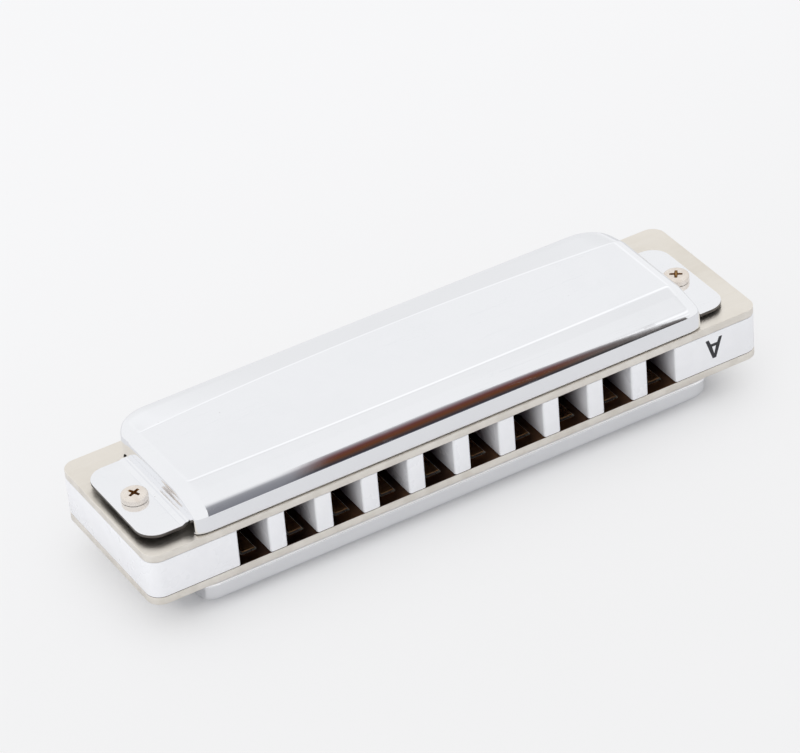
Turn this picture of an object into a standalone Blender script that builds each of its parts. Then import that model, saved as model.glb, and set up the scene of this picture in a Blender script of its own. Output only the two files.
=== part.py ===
"""Ten-hole diatonic harmonica: comb, two reed plates, twenty riveted reeds, two covers and their fasteners.

The mouth side faces -Y, the length runs along X and +Z is up. The origin is under the middle of the
body, on the surface that the lower cover rests on. All values are in metres.
"""
import math

import bpy
import bmesh

MILLIMETRE = 0.001

# Overall body
HOLE_COUNT = 10
HOLE_PITCH = 0.0075
HOLE_WIDTH = 0.00475
HOLE_EDGE_ROUND = 0.0004
CHANNEL_CORNER_RADIUS = 0.0009
ROW_SHIFT = -0.0005
BODY_LENGTH = 0.1008
BODY_DEPTH = 0.0268
CORNER_RADIUS = 0.0022
COMB_THICKNESS = 0.006
PLATE_THICKNESS = 0.0012
JOINT_GAP = 0.00005

# Covers, with heights measured from the outer face of the reed plate
UPPER_COVER_SHIFT = -0.00085
LOWER_COVER_SHIFT = -0.00055
LOWER_COVER_FORWARD = 0.0001
COVER_RISE = 0.0053
SHEET = 0.00045
COVER_HALF_LENGTH = 0.04165
LIP_Y = -0.0133
LIP_FOOT = 0.00035
LIP_TOP = 0.00227
LIP_LEAN = 0.00023
LIP_FOOT_ROUND = 0.0004
FILLET_RADIUS = 0.002
FRONT_SLOPE = math.radians(21.0)
BEVEL_Y = -0.0098
FRONT_FOLD_Y = -0.0079
FRONT_FOLD_BOW = 0.0004
BACK_FOLD_Y = 0.0084
BACK_FOLD_BOW = 0.0019
BACK_EDGE_Y = 0.01335
BACK_EDGE_RISE = 0.0046
RIM_RADIUS = 0.00075
RIM_FOOT = 0.0032
WALL_BACK_Y = 0.0095
SHOULDER_LENGTH = 0.0024
SHOULDER_DROP = 0.0015
SHOULDER_INSET = 0.0009
BACK_CORNER_RADIUS = 0.006
ARC_STEPS = 6
RIM_ARC_ANGLES = (81.0, 54.0, 27.0, 0.0)

# Where the cover's sections stand, from each end wall, as shares of the length named
SHOULDER_STATIONS = (0.0, 0.04, 0.13, 0.26, 0.42, 0.62, 0.82, 1.0)
CORNER_STATIONS = (0.58, 0.8, 1.0)
HALF_LENGTH_STATIONS = (0.4, 0.7)

# Cover tabs: which end each is at, its reach from the cover's middle and its height off the plate
TAB_SIDE = {"left": -1, "right": 1}
TAB_REACH = {"left": 0.0485, "right": 0.04775}
TAB_FOOT = {"left": 0.0008, "right": 0.0004}
TAB_FRONT_Y = -0.0109
TAB_BACK_Y = 0.0077
TAB_CORNER_RADIUS = 0.003
LEDGE_RISE = 0.0003
LEDGE_LENGTH = 0.0006
LEDGE_SLOPE_LENGTH = 0.0005

# Reeds: the first hole has the longest pair
REED_LENGTH_FIRST = 0.0154
REED_LENGTH_LAST = 0.0094
REED_WIDTH = 0.0021
REED_TIP_SHARE = 0.94
REED_NECK = 0.0004
REED_THICKNESS = 0.00025
REED_GAP = 0.00015
SLOT_SIDE_GAP = 0.00015
SLOT_TIP_GAP = 0.0002
SLOT_CORNER_RADIUS = 0.0002
PAD_LENGTH = 0.0026
PAD_WIDTH = 0.0032
DRAW_ROOT_Y = -0.0082
BLOW_TIP_Y = -0.0111
CHANNEL_BACK_MARGIN = 0.0031

# Rivets and fasteners
RIVET_SHANK_RADIUS = 0.0005
RIVET_HEAD_RADIUS = 0.0009
RIVET_HEAD_HEIGHT = 0.0003
RIVET_HOLE_RADIUS = 0.00058
PAD_HOLE_RADIUS = 0.00066
BOLT_SHIFT = -0.001
BOLT_HALF_SPAN = 0.045
BOLT_Y = -0.0015
BOLT_RADIUS = 0.001
BOLT_HOLE_RADIUS = 0.0013
COVER_HOLE_RADIUS = 0.00155
BOLT_HEAD_RADIUS = 0.00195
BOLT_HEAD_HEIGHT = 0.00105
SEAT_GAP = 0.00005
NUT_RADIUS = 0.0021
NUT_HEIGHT = 0.0013
NUT_GRIP_SHARE = 0.8
BOLT_BIT_REACH = 0.0009
PLATE_BIT_REACH = 0.0008
BIT_WIDTH_SHARE = 0.24
BIT_DEPTH_SHARE = 0.6
PLATE_SCREW_XS = (-0.0263, 0.0, 0.0263)
PLATE_SCREW_Y = 0.0114
PLATE_SCREW_RADIUS = 0.0007
PLATE_SCREW_HOLE_RADIUS = 0.0008
PLATE_SCREW_HEAD_RADIUS = 0.0013
PLATE_SCREW_HEAD_HEIGHT = 0.0006
PLATE_SCREW_GRIP = 0.0026

# Heights that follow
LOW_PLATE_FOOT = COVER_RISE
LOW_PLATE_TOP = LOW_PLATE_FOOT + PLATE_THICKNESS
COMB_FOOT = LOW_PLATE_TOP + JOINT_GAP
COMB_TOP = COMB_FOOT + COMB_THICKNESS
HIGH_PLATE_FOOT = COMB_TOP + JOINT_GAP
HIGH_PLATE_TOP = HIGH_PLATE_FOOT + PLATE_THICKNESS
FRONT_Y = -BODY_DEPTH / 2


def clear_scene():
    for obj in list(bpy.data.objects):
        bpy.data.objects.remove(obj, do_unlink=True)


def make_collection(name, hidden=False):
    group = bpy.data.collections.new(name)
    bpy.context.scene.collection.children.link(group)
    group.hide_render = hidden
    return group


def make_material(name, color, metallic, roughness):
    material = bpy.data.materials.new(name)
    material.use_nodes = True
    shader = material.node_tree.nodes["Principled BSDF"]
    shader.inputs["Base Color"].default_value = (*color, 1.0)
    shader.inputs["Metallic"].default_value = metallic
    shader.inputs["Roughness"].default_value = roughness
    return material


def link_mesh(name, mesh, group, material=None):
    obj = bpy.data.objects.new(name, mesh)
    group.objects.link(obj)
    if material:
        mesh.materials.clear()
        mesh.materials.append(material)
    return obj


def arc(cx, cy, radius, start, end, steps=ARC_STEPS):
    """Points on a circle from one angle to another, both ends included, in degrees."""
    points = []
    for i in range(steps + 1):
        angle = math.radians(start + (end - start) * i / steps)
        points.append((cx + radius * math.cos(angle), cy + radius * math.sin(angle)))
    return points


def rounded_box_outline(x0, y0, x1, y1, radius, steps=ARC_STEPS):
    return (
        arc(x1 - radius, y0 + radius, radius, -90, 0, steps)
        + arc(x1 - radius, y1 - radius, radius, 0, 90, steps)
        + arc(x0 + radius, y1 - radius, radius, 90, 180, steps)
        + arc(x0 + radius, y0 + radius, radius, 180, 270, steps)
    )


def circle_outline(cx, cy, radius, steps=14):
    return arc(cx, cy, radius, 0, 360, steps)[:-1]


def flat_mesh(name, outlines, low, high):
    """A flat piece cut to its outlines, the first outside and the rest holes, from one height to another.

    The curve is drawn in millimetres, because filling an outline of fine points works best at that size.
    """
    curve = bpy.data.curves.new(name, "CURVE")
    curve.dimensions = "2D"
    curve.fill_mode = "BOTH"
    curve.extrude = (high - low) / 2 / MILLIMETRE
    for outline in outlines:
        spline = curve.splines.new("POLY")
        spline.points.add(len(outline) - 1)
        for point, (x, y) in zip(spline.points, outline):
            point.co = (x / MILLIMETRE, y / MILLIMETRE, 0.0, 1.0)
        spline.use_cyclic_u = True
    holder = bpy.data.objects.new(name, curve)
    bpy.context.scene.collection.objects.link(holder)
    graph = bpy.context.evaluated_depsgraph_get()
    mesh = bpy.data.meshes.new_from_object(holder.evaluated_get(graph))
    bpy.data.objects.remove(holder)
    bpy.data.curves.remove(curve)
    shape = bmesh.new()
    shape.from_mesh(mesh)
    bmesh.ops.remove_doubles(shape, verts=shape.verts, dist=1e-4)
    bmesh.ops.scale(shape, verts=shape.verts, vec=(MILLIMETRE, MILLIMETRE, MILLIMETRE))
    bmesh.ops.translate(shape, verts=shape.verts, vec=(0.0, 0.0, (low + high) / 2))
    bmesh.ops.recalc_face_normals(shape, faces=shape.faces)
    shape.to_mesh(mesh)
    shape.free()
    return mesh


def turned_mesh(name, profile, sides):
    """A turned piece: the profile runs down its outer side as (radius, height), from the axis to the axis."""
    mesh = bpy.data.meshes.new(name)
    mesh.from_pydata([(r, 0.0, z) for r, z in profile], [(i, i + 1) for i in range(len(profile) - 1)], [])
    holder = bpy.data.objects.new(name, mesh)
    bpy.context.scene.collection.objects.link(holder)
    screw = holder.modifiers.new("Turn", "SCREW")
    screw.steps = sides
    screw.render_steps = sides
    screw.use_merge_vertices = True
    screw.merge_threshold = 1e-6
    graph = bpy.context.evaluated_depsgraph_get()
    turned = bpy.data.meshes.new_from_object(holder.evaluated_get(graph))
    bpy.data.objects.remove(holder)
    bpy.data.meshes.remove(mesh)
    turned.name = name
    shape = bmesh.new()
    shape.from_mesh(turned)
    bmesh.ops.remove_doubles(shape, verts=shape.verts, dist=1e-7)
    bmesh.ops.recalc_face_normals(shape, faces=shape.faces)
    shape.to_mesh(turned)
    shape.free()
    return turned


def box_mesh(name, boxes):
    """One mesh of separate boxes, each given as its low and high corner."""
    shape = bmesh.new()
    for low, high in boxes:
        made = bmesh.ops.create_cube(shape, size=1.0)["verts"]
        size = [b - a for a, b in zip(low, high)]
        middle = [(a + b) / 2 for a, b in zip(low, high)]
        bmesh.ops.scale(shape, verts=made, vec=size)
        bmesh.ops.translate(shape, verts=made, vec=middle)
    mesh = bpy.data.meshes.new(name)
    shape.to_mesh(mesh)
    shape.free()
    return mesh


def add_boolean(obj, operation, other):
    modifier = obj.modifiers.new(operation.title(), "BOOLEAN")
    modifier.operation = operation
    modifier.solver = "EXACT"
    modifier.object = other


def shade(obj):
    obj.data.shade_smooth()
    obj.data.set_sharp_from_angle(angle=math.radians(30.0))


def make_cutter(name, mesh):
    cutter = link_mesh(name, mesh, cutters)
    cutter.hide_render = True
    cutter.display_type = "WIRE"
    return cutter


def hole_centre(number):
    """Hole 1 is at the +X end, because the instrument lies with its draw side up."""
    return ROW_SHIFT + HOLE_PITCH * ((HOLE_COUNT + 1) / 2 - number)


def reed_length(number):
    share = (number - 1) / (HOLE_COUNT - 1)
    return REED_LENGTH_FIRST + share * (REED_LENGTH_LAST - REED_LENGTH_FIRST)


def blow_root_y(number):
    return BLOW_TIP_Y + reed_length(number)


def channel_back_y(number):
    return blow_root_y(number) + CHANNEL_BACK_MARGIN


def bolt_x(word):
    return BOLT_SHIFT + TAB_SIDE[word] * BOLT_HALF_SPAN


def fastener_holes(screw_radius):
    holes = [circle_outline(bolt_x(word), BOLT_Y, BOLT_HOLE_RADIUS) for word in TAB_SIDE]
    holes += [circle_outline(x, PLATE_SCREW_Y, screw_radius) for x in PLATE_SCREW_XS]
    return holes


def comb_outline():
    """The body's outline with ten channels cut in from the mouth side."""
    x1 = BODY_LENGTH / 2
    y1 = BODY_DEPTH / 2
    r = CORNER_RADIUS
    front_round = HOLE_EDGE_ROUND
    back_round = CHANNEL_CORNER_RADIUS
    points = arc(-x1 + r, FRONT_Y + r, r, 180, 270)
    for number in range(HOLE_COUNT, 0, -1):
        left = hole_centre(number) - HOLE_WIDTH / 2
        right = left + HOLE_WIDTH
        back = channel_back_y(number)
        points += arc(left - front_round, FRONT_Y + front_round, front_round, -90, 0, 3)
        points += arc(left + back_round, back - back_round, back_round, 180, 90, 3)
        points += arc(right - back_round, back - back_round, back_round, 90, 0, 3)
        points += arc(right + front_round, FRONT_Y + front_round, front_round, 180, 270, 3)
    points += arc(x1 - r, FRONT_Y + r, r, -90, 0)
    points += arc(x1 - r, y1 - r, r, 0, 90)
    points += arc(-x1 + r, y1 - r, r, 90, 180)
    return points


def build_comb():
    outlines = [comb_outline()] + fastener_holes(PLATE_SCREW_HOLE_RADIUS)
    mesh = flat_mesh("comb", outlines, COMB_FOOT, COMB_TOP)
    material = make_material("white_plastic", (0.86, 0.86, 0.87), 0.0, 0.32)
    shade(link_mesh("comb", mesh, parts, material))


def slot_outline(centre_x, root_y, towards, length):
    """The window that a reed swings through; it starts at the reed's root and runs one way along Y."""
    half = REED_WIDTH / 2 + SLOT_SIDE_GAP
    ends = sorted((root_y, root_y + towards * (length + SLOT_TIP_GAP)))
    return rounded_box_outline(centre_x - half, ends[0], centre_x + half, ends[1], SLOT_CORNER_RADIUS, 1)


def rivet_y(root_y, towards):
    return root_y - towards * PAD_LENGTH / 2


def build_plate(name, low, root_of, towards):
    x1 = BODY_LENGTH / 2
    y1 = BODY_DEPTH / 2
    outlines = [rounded_box_outline(-x1, -y1, x1, y1, CORNER_RADIUS)]
    outlines += fastener_holes(PLATE_SCREW_HOLE_RADIUS)
    for number in range(1, HOLE_COUNT + 1):
        x = hole_centre(number)
        root = root_of(number)
        outlines.append(slot_outline(x, root, towards, reed_length(number)))
        outlines.append(circle_outline(x, rivet_y(root, towards), RIVET_HOLE_RADIUS, 10))
    mesh = flat_mesh(name, outlines, low, low + PLATE_THICKNESS)
    material = make_material(name + "_metal", (0.80, 0.76, 0.70), 1.0, 0.35)
    shade(link_mesh(name, mesh, parts, material))


def reed_outline(towards, length):
    """A pad behind the root line and a slightly tapered tongue in front of it, in the reed's own frame."""
    pad = PAD_WIDTH / 2
    root = REED_WIDTH / 2
    tip = root * REED_TIP_SHARE
    half = [(pad, -PAD_LENGTH), (pad, -REED_NECK), (root, 0.0), (tip, length)]
    points = half + [(-x, y) for x, y in reversed(half)]
    return [(x * towards, y * towards) for x, y in points]


def build_reed(name, number, root_y, towards, plate_face, outward, material):
    """The reed lies just off its plate. Its origin is on the line that it swings about."""
    centre_z = plate_face + outward * (REED_GAP + REED_THICKNESS / 2)
    outlines = [reed_outline(towards, reed_length(number)),
                circle_outline(0.0, -towards * PAD_LENGTH / 2, PAD_HOLE_RADIUS, 10)]
    mesh = flat_mesh(name, outlines, -REED_THICKNESS / 2, REED_THICKNESS / 2)
    reed = link_mesh(name, mesh, parts, material)
    reed.location = (hole_centre(number), root_y, centre_z)
    shade(reed)


def build_rivet(name, x, y, head_side, tail_side, material):
    """A domed head just off the reed's pad, and a shank through the pad and the plate to its far face."""
    outward = 1.0 if head_side > tail_side else -1.0
    head_base = head_side + outward * (2 * REED_GAP + REED_THICKNESS)
    head_top = head_base + outward * RIVET_HEAD_HEIGHT
    r = RIVET_HEAD_RADIUS
    profile = [
        (0.0, 0.0), (r * 0.6, -0.15 * RIVET_HEAD_HEIGHT), (r, -0.6 * RIVET_HEAD_HEIGHT),
        (r, -RIVET_HEAD_HEIGHT), (RIVET_SHANK_RADIUS, -RIVET_HEAD_HEIGHT),
        (RIVET_SHANK_RADIUS, -abs(head_top - tail_side)), (0.0, -abs(head_top - tail_side)),
    ]
    rivet = link_mesh(name, turned_mesh(name, profile, 10), parts, material)
    rivet.location = (x, y, head_top)
    if outward < 0:
        rivet.rotation_euler = (math.pi, 0.0, 0.0)
    shade(rivet)


def build_reeds():
    brass = make_material("reed_brass", (0.78, 0.52, 0.28), 1.0, 0.3)
    copper = make_material("rivet_copper", (0.72, 0.47, 0.30), 1.0, 0.35)
    sets = (
        ("draw", lambda number: DRAW_ROOT_Y, 1.0, HIGH_PLATE_TOP, 1.0, HIGH_PLATE_FOOT),
        ("blow", blow_root_y, -1.0, LOW_PLATE_TOP, 1.0, LOW_PLATE_FOOT),
    )
    for kind, root_of, towards, face, outward, tail in sets:
        for number in range(1, HOLE_COUNT + 1):
            root = root_of(number)
            x = hole_centre(number)
            build_reed(f"{kind}_reed_{number:02d}", number, root, towards, face, outward, brass)
            build_rivet(f"{kind}_rivet_{number:02d}", x, rivet_y(root, towards), face, tail, copper)


def cover_profile(inset):
    """The cover's section as (y, height) from the lip's foot to the back rim, moved in by inset.

    The lip leans back a little. Outside, its foot is rounded; above it, a fillet turns into the front slope.
    """
    lean = math.atan(LIP_LEAN / (LIP_TOP - LIP_FOOT))
    centre_y = LIP_Y + LIP_LEAN + FILLET_RADIUS * math.cos(lean)
    centre_z = LIP_TOP - FILLET_RADIUS * math.sin(lean)
    radius = FILLET_RADIUS - inset
    if inset:
        points = [(LIP_Y + inset, LIP_FOOT)]
    else:
        points = arc(LIP_Y + LIP_FOOT_ROUND, LIP_FOOT + LIP_FOOT_ROUND, LIP_FOOT_ROUND, 270, 180, 2)
    for i in range(ARC_STEPS + 1):
        angle = lean + (math.pi / 2 - FRONT_SLOPE - lean) * i / ARC_STEPS
        points.append((centre_y - radius * math.cos(angle), centre_z + radius * math.sin(angle)))
    bevel_rise = points[-1][1] + (BEVEL_Y - points[-1][0]) * math.tan(FRONT_SLOPE)
    points.append((BEVEL_Y, bevel_rise))
    points.append((FRONT_FOLD_Y, COVER_RISE - inset))
    points.append((BACK_FOLD_Y, COVER_RISE - inset))
    rim = RIM_RADIUS - inset
    for degrees in RIM_ARC_ANGLES:
        angle = math.radians(degrees)
        y = BACK_EDGE_Y - RIM_RADIUS + rim * math.cos(angle)
        points.append((y, BACK_EDGE_RISE - RIM_RADIUS + rim * math.sin(angle)))
    points.append((BACK_EDGE_Y - inset, LIP_FOOT))
    return points


def drawn_in(distance, reach):
    """1 at a distance of 0 and 0 from the reach on, along a quarter of an ellipse."""
    along = min(distance / reach, 1.0)
    return 1.0 - math.sqrt(max(1.0 - (1.0 - along) ** 2, 0.0))


def cover_section(profile, x, inset, foot):
    """The profile at x: the folds bow out mid-length, the shoulder drops, the back corner is round."""
    from_wall = COVER_HALF_LENGTH - inset - abs(x)
    bow = (x / COVER_HALF_LENGTH) ** 2
    front_fold = FRONT_FOLD_Y + FRONT_FOLD_BOW * bow
    back_fold = BACK_FOLD_Y - BACK_FOLD_BOW * bow
    shoulder = drawn_in(from_wall, SHOULDER_LENGTH)
    corner = BACK_CORNER_RADIUS - inset
    back_y = BACK_EDGE_Y - inset - corner * drawn_in(from_wall, corner)
    points = []
    for y, rise in profile:
        if y >= BACK_FOLD_Y:
            along = (y - BACK_FOLD_Y) / (BACK_EDGE_Y - inset - BACK_FOLD_Y)
            new_y = back_fold + along * (back_y - back_fold)
        elif y >= FRONT_FOLD_Y:
            new_y = front_fold
        else:
            nearness = (FRONT_FOLD_Y - y) / (FRONT_FOLD_Y - LIP_Y)
            new_y = y + FRONT_FOLD_BOW * bow * (1.0 - nearness) + SHOULDER_INSET * shoulder * nearness ** 2
        above_lip = max(rise - LIP_TOP, 0.0) / (COVER_RISE - LIP_TOP)
        points.append((new_y, rise - SHOULDER_DROP * shoulder * above_lip))
    points[0] = (points[0][0], foot)
    points[-1] = (points[-1][0], foot)
    return points


def cover_hull(name, inset, foot):
    """A loft of sections along X between the two end walls, closed below and at both ends."""
    reach = COVER_HALF_LENGTH - inset
    distances = [SHOULDER_LENGTH * share for share in SHOULDER_STATIONS]
    distances += [BACK_CORNER_RADIUS * share for share in CORNER_STATIONS]
    distances += [COVER_HALF_LENGTH * share for share in HALF_LENGTH_STATIONS]
    stations = [-reach + d for d in distances] + [0.0] + [reach - d for d in reversed(distances)]
    profile = cover_profile(inset)
    shape = bmesh.new()
    rows = []
    for x in stations:
        section = cover_section(profile, x, inset, foot)
        rows.append([shape.verts.new((x, y, rise)) for y, rise in section])
    for row, after in zip(rows, rows[1:]):
        for i in range(len(row)):
            j = (i + 1) % len(row)
            shape.faces.new((row[i], row[j], after[j], after[i]))
    shape.faces.new(rows[0])
    shape.faces.new(rows[-1])
    bmesh.ops.recalc_face_normals(shape, faces=shape.faces)
    mesh = bpy.data.meshes.new(name)
    shape.to_mesh(mesh)
    shape.free()
    return mesh


def tab_mesh(name, word):
    """A tab's plan outline with its screw hole, as a thick blank for the tab's side profile to trim."""
    side = TAB_SIDE[word]
    inner = side * (COVER_HALF_LENGTH - SHEET * 0.5)
    outer = side * TAB_REACH[word]
    r = TAB_CORNER_RADIUS
    front = arc(outer - side * r, TAB_FRONT_Y + r, r, -90, -90 + side * 90)
    back = arc(outer - side * r, TAB_BACK_Y - r, r, 90 - side * 90, 90)
    outline = [(inner, TAB_FRONT_Y)] + front + back + [(inner, TAB_BACK_Y)]
    hole = circle_outline(side * BOLT_HALF_SPAN, BOLT_Y, COVER_HOLE_RADIUS)
    return flat_mesh(name, [outline, hole], TAB_FOOT[word] - SHEET, TAB_FOOT[word] + 3 * SHEET)


def tab_profile_mesh(name, word):
    """The tab seen along Y: a ledge beside the wall, a short slope and a flat outer part."""
    wall = COVER_HALF_LENGTH - SHEET * 0.5
    ledge = COVER_HALF_LENGTH + LEDGE_LENGTH
    flat = ledge + LEDGE_SLOPE_LENGTH
    end = TAB_REACH[word] + SHEET
    lower = [(wall - SHEET, LEDGE_RISE), (ledge, LEDGE_RISE), (flat, 0.0), (end, 0.0)]
    upper = [(x, z + SHEET) for x, z in reversed(lower)]
    outline = [(TAB_SIDE[word] * x, TAB_FOOT[word] + z) for x, z in lower + upper]
    mesh = flat_mesh(name, [outline], -BODY_DEPTH, BODY_DEPTH)
    for vertex in mesh.vertices:
        x, z, y = vertex.co
        vertex.co = (x, y, z)
    shape = bmesh.new()
    shape.from_mesh(mesh)
    bmesh.ops.recalc_face_normals(shape, faces=shape.faces)
    shape.to_mesh(mesh)
    shape.free()
    return mesh


def wall_gaps():
    """What is cut from the shell: the back opening, and the gap under each end wall beside its tab."""
    below = -SHEET
    reach = COVER_HALF_LENGTH + SHEET
    lip_back = LIP_Y + LIP_LEAN + SHEET + SHOULDER_INSET
    gaps = [((-reach, WALL_BACK_Y, below), (reach, BACK_EDGE_Y + SHEET, RIM_FOOT))]
    for word, side in TAB_SIDE.items():
        ends = sorted((side * reach, side * (COVER_HALF_LENGTH - 2 * SHEET)))
        foot = TAB_FOOT[word] + LEDGE_RISE
        gaps.append(((ends[0], lip_back, below), (ends[1], WALL_BACK_Y + SHEET, foot)))
    return gaps


def build_cover(name, shift, upside_down):
    """A shell open below and behind, with a tab at each end; the lower one is the same part turned over."""
    material = make_material(name + "_chrome", (0.86, 0.87, 0.88), 1.0, 0.08)
    cover = link_mesh(name, cover_hull(name, 0.0, LIP_FOOT), parts, material)
    helpers = [make_cutter(name + "_inside", cover_hull(name + "_inside", SHEET, -SHEET))]
    for i, gap in enumerate(wall_gaps()):
        helpers.append(make_cutter(f"{name}_gap_{i}", box_mesh(f"{name}_gap_{i}", [gap])))
    for helper in helpers:
        add_boolean(cover, "DIFFERENCE", helper)
    for word in TAB_SIDE:
        tab = make_cutter(f"{name}_{word}_tab", tab_mesh(f"{name}_{word}_tab", word))
        section = make_cutter(f"{name}_{word}_section", tab_profile_mesh(f"{name}_{word}_section", word))
        add_boolean(tab, "INTERSECT", section)
        add_boolean(cover, "UNION", tab)
        helpers += [tab, section]
    forward = LOWER_COVER_FORWARD if upside_down else 0.0
    for piece in [cover] + helpers:
        piece.location = (shift, -forward, LOW_PLATE_FOOT if upside_down else HIGH_PLATE_TOP)
        piece.rotation_euler = (0.0, math.pi if upside_down else 0.0, 0.0)


def cross_recess_boxes(reach, width, depth, top):
    return [((-reach, -width, top - depth), (reach, width, top + depth)),
            ((-width, -reach, top - depth * 1.001), (width, reach, top + depth * 1.001))]


def pan_head_profile(radius, height, shank, length):
    """Head height 0 is its seat; the shank runs down from there."""
    return [
        (0.0, height), (radius * 0.62, height * 0.95), (radius * 0.89, height * 0.76),
        (radius, height * 0.42), (radius, 0.0), (shank, 0.0),
        (shank, shank * 0.4 - length), (shank * 0.6, -length), (0.0, -length),
    ]


def build_screw(name, x, y, seat, outward, sizes, material):
    radius, height, shank, length, sides, bit = sizes
    mesh = turned_mesh(name, pan_head_profile(radius, height, shank, length), sides)
    screw = link_mesh(name, mesh, parts, material)
    shade(screw)
    pieces = [screw]
    recess = cross_recess_boxes(bit, bit * BIT_WIDTH_SHARE, height * BIT_DEPTH_SHARE, height)
    for i, corners in enumerate(recess):
        cutter = make_cutter(f"{name}_bit_{i}", box_mesh(f"{name}_bit_{i}", [corners]))
        add_boolean(screw, "DIFFERENCE", cutter)
        pieces.append(cutter)
    for piece in pieces:
        piece.location = (x, y, seat)
        piece.rotation_euler = (0.0 if outward > 0 else math.pi, 0.0, 0.0)
    return screw


def build_nut(name, x, y, seat, material):
    outline = arc(x, y, NUT_RADIUS, 30, 390, 6)[:-1]
    mesh = flat_mesh(name, [outline, circle_outline(x, y, BOLT_RADIUS + SEAT_GAP)], seat - NUT_HEIGHT, seat)
    shade(link_mesh(name, mesh, parts, material))


def build_fasteners():
    nickel = make_material("screw_nickel", (0.76, 0.72, 0.67), 1.0, 0.3)
    far_end = {"left": "right", "right": "left"}
    for word in TAB_SIDE:
        seat = HIGH_PLATE_TOP + TAB_FOOT[word] + SHEET + SEAT_GAP
        nut_seat = LOW_PLATE_FOOT - TAB_FOOT[far_end[word]] - SHEET - SEAT_GAP
        length = seat - nut_seat + NUT_HEIGHT * NUT_GRIP_SHARE
        sizes = (BOLT_HEAD_RADIUS, BOLT_HEAD_HEIGHT, BOLT_RADIUS, length, 20, BOLT_BIT_REACH)
        build_screw(f"cover_screw_{word}", bolt_x(word), BOLT_Y, seat, 1, sizes, nickel)
        build_nut(f"cover_nut_{word}", bolt_x(word), BOLT_Y, nut_seat, nickel)
    sizes = (PLATE_SCREW_HEAD_RADIUS, PLATE_SCREW_HEAD_HEIGHT, PLATE_SCREW_RADIUS,
             PLATE_THICKNESS + PLATE_SCREW_GRIP, 12, PLATE_BIT_REACH)
    for word, face, outward in (("upper", HIGH_PLATE_TOP, 1), ("lower", LOW_PLATE_FOOT, -1)):
        for i, x in enumerate(PLATE_SCREW_XS, 1):
            build_screw(f"{word}_plate_screw_{i}", x, PLATE_SCREW_Y,
                        face + outward * SEAT_GAP, outward, sizes, nickel)


clear_scene()
parts = make_collection("diatonic_harmonica")
cutters = make_collection("cutters", hidden=True)
build_comb()
build_plate("upper_reed_plate", HIGH_PLATE_FOOT, lambda number: DRAW_ROOT_Y, 1.0)
build_plate("lower_reed_plate", LOW_PLATE_FOOT, blow_root_y, -1.0)
build_reeds()
build_cover("upper_cover", UPPER_COVER_SHIFT, upside_down=False)
build_cover("lower_cover", LOWER_COVER_SHIFT, upside_down=True)
build_fasteners()
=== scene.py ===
import math
from types import SimpleNamespace

import bmesh
import bpy
import numpy as np
from mathutils import Matrix, Vector
from mathutils.geometry import tessellate_polygon


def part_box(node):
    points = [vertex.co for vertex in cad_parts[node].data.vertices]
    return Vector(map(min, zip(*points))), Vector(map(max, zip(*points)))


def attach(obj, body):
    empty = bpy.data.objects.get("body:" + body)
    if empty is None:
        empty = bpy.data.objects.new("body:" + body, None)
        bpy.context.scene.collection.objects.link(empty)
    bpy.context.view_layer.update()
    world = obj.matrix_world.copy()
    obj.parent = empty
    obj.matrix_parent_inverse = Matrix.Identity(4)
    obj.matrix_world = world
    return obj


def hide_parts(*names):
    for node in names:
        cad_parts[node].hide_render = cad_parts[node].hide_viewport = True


mm = 0.001
holes = range(1, 11)
# Faces that meet at less than this are shaded as one surface, on small parts and on the pressed covers
flatAngle = math.radians(35)
coverAngle = math.radians(50)

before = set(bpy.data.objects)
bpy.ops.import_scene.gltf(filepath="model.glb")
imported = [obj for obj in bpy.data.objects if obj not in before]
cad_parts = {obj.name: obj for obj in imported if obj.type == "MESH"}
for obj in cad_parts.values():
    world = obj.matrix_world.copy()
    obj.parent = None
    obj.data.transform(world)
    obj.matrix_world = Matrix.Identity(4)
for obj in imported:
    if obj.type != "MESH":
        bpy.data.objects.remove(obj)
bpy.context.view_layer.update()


# Surfaces worked out as arrays

# Quads between the neighbouring points of a grid whose points are counted row by row.
def gridFaces(rows, columns, closeColumns=False, closeRows=False):
    row = np.arange(rows if closeRows else rows - 1)
    column = np.arange(columns if closeColumns else columns - 1)
    a, b = np.meshgrid(row, column, indexing="ij")
    nextA = (a + 1) % rows
    nextB = (b + 1) % columns
    corners = [a * columns + b, a * columns + nextB, nextA * columns + nextB, nextA * columns + b]
    return np.stack(corners, axis=-1).reshape(-1, 4)


# Points from coordinates that share a grid or fill it.
def gridPoints(x, y, z):
    return np.stack(np.broadcast_arrays(x, y, z), axis=-1)


def addObject(name, data):
    made = bpy.data.objects.new(name, data)
    bpy.context.scene.collection.objects.link(made)
    return made


# A mesh of points in millimetres.
def rawMesh(name, points, faces, material):
    mesh = bpy.data.meshes.new(name)
    places = np.asarray(points, float).reshape(-1, 3) * mm
    mesh.from_pydata(places.tolist(), [], [list(map(int, face)) for face in faces])
    mesh.materials.append(material)
    return mesh


# Merges doubles and turns the faces outwards.
def tidyMesh(mesh, distance=2e-7):
    shape = bmesh.new()
    shape.from_mesh(mesh)
    bmesh.ops.remove_doubles(shape, verts=shape.verts, dist=distance)
    bmesh.ops.dissolve_degenerate(shape, edges=shape.edges, dist=distance)
    bmesh.ops.recalc_face_normals(shape, faces=shape.faces)
    shape.to_mesh(mesh)
    shape.free()


def shadeSmooth(mesh, angle):
    mesh.shade_smooth()
    mesh.set_sharp_from_angle(angle=angle)


def meshFrom(name, points, faces, material, smooth=True):
    mesh = rawMesh(name, points, faces, material)
    tidyMesh(mesh)
    if smooth:
        shadeSmooth(mesh, flatAngle)
    return mesh


def addPiece(name, mesh, body, slot, *nodes):
    piece = addObject(name, mesh)
    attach(piece, body)
    if nodes:
        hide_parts(*nodes)
    return piece


def setValues(mesh, name, values):
    attribute = mesh.attributes.new(name, "FLOAT", "POINT")
    attribute.data.foreach_set("value", np.asarray(values, np.float32))


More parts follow.
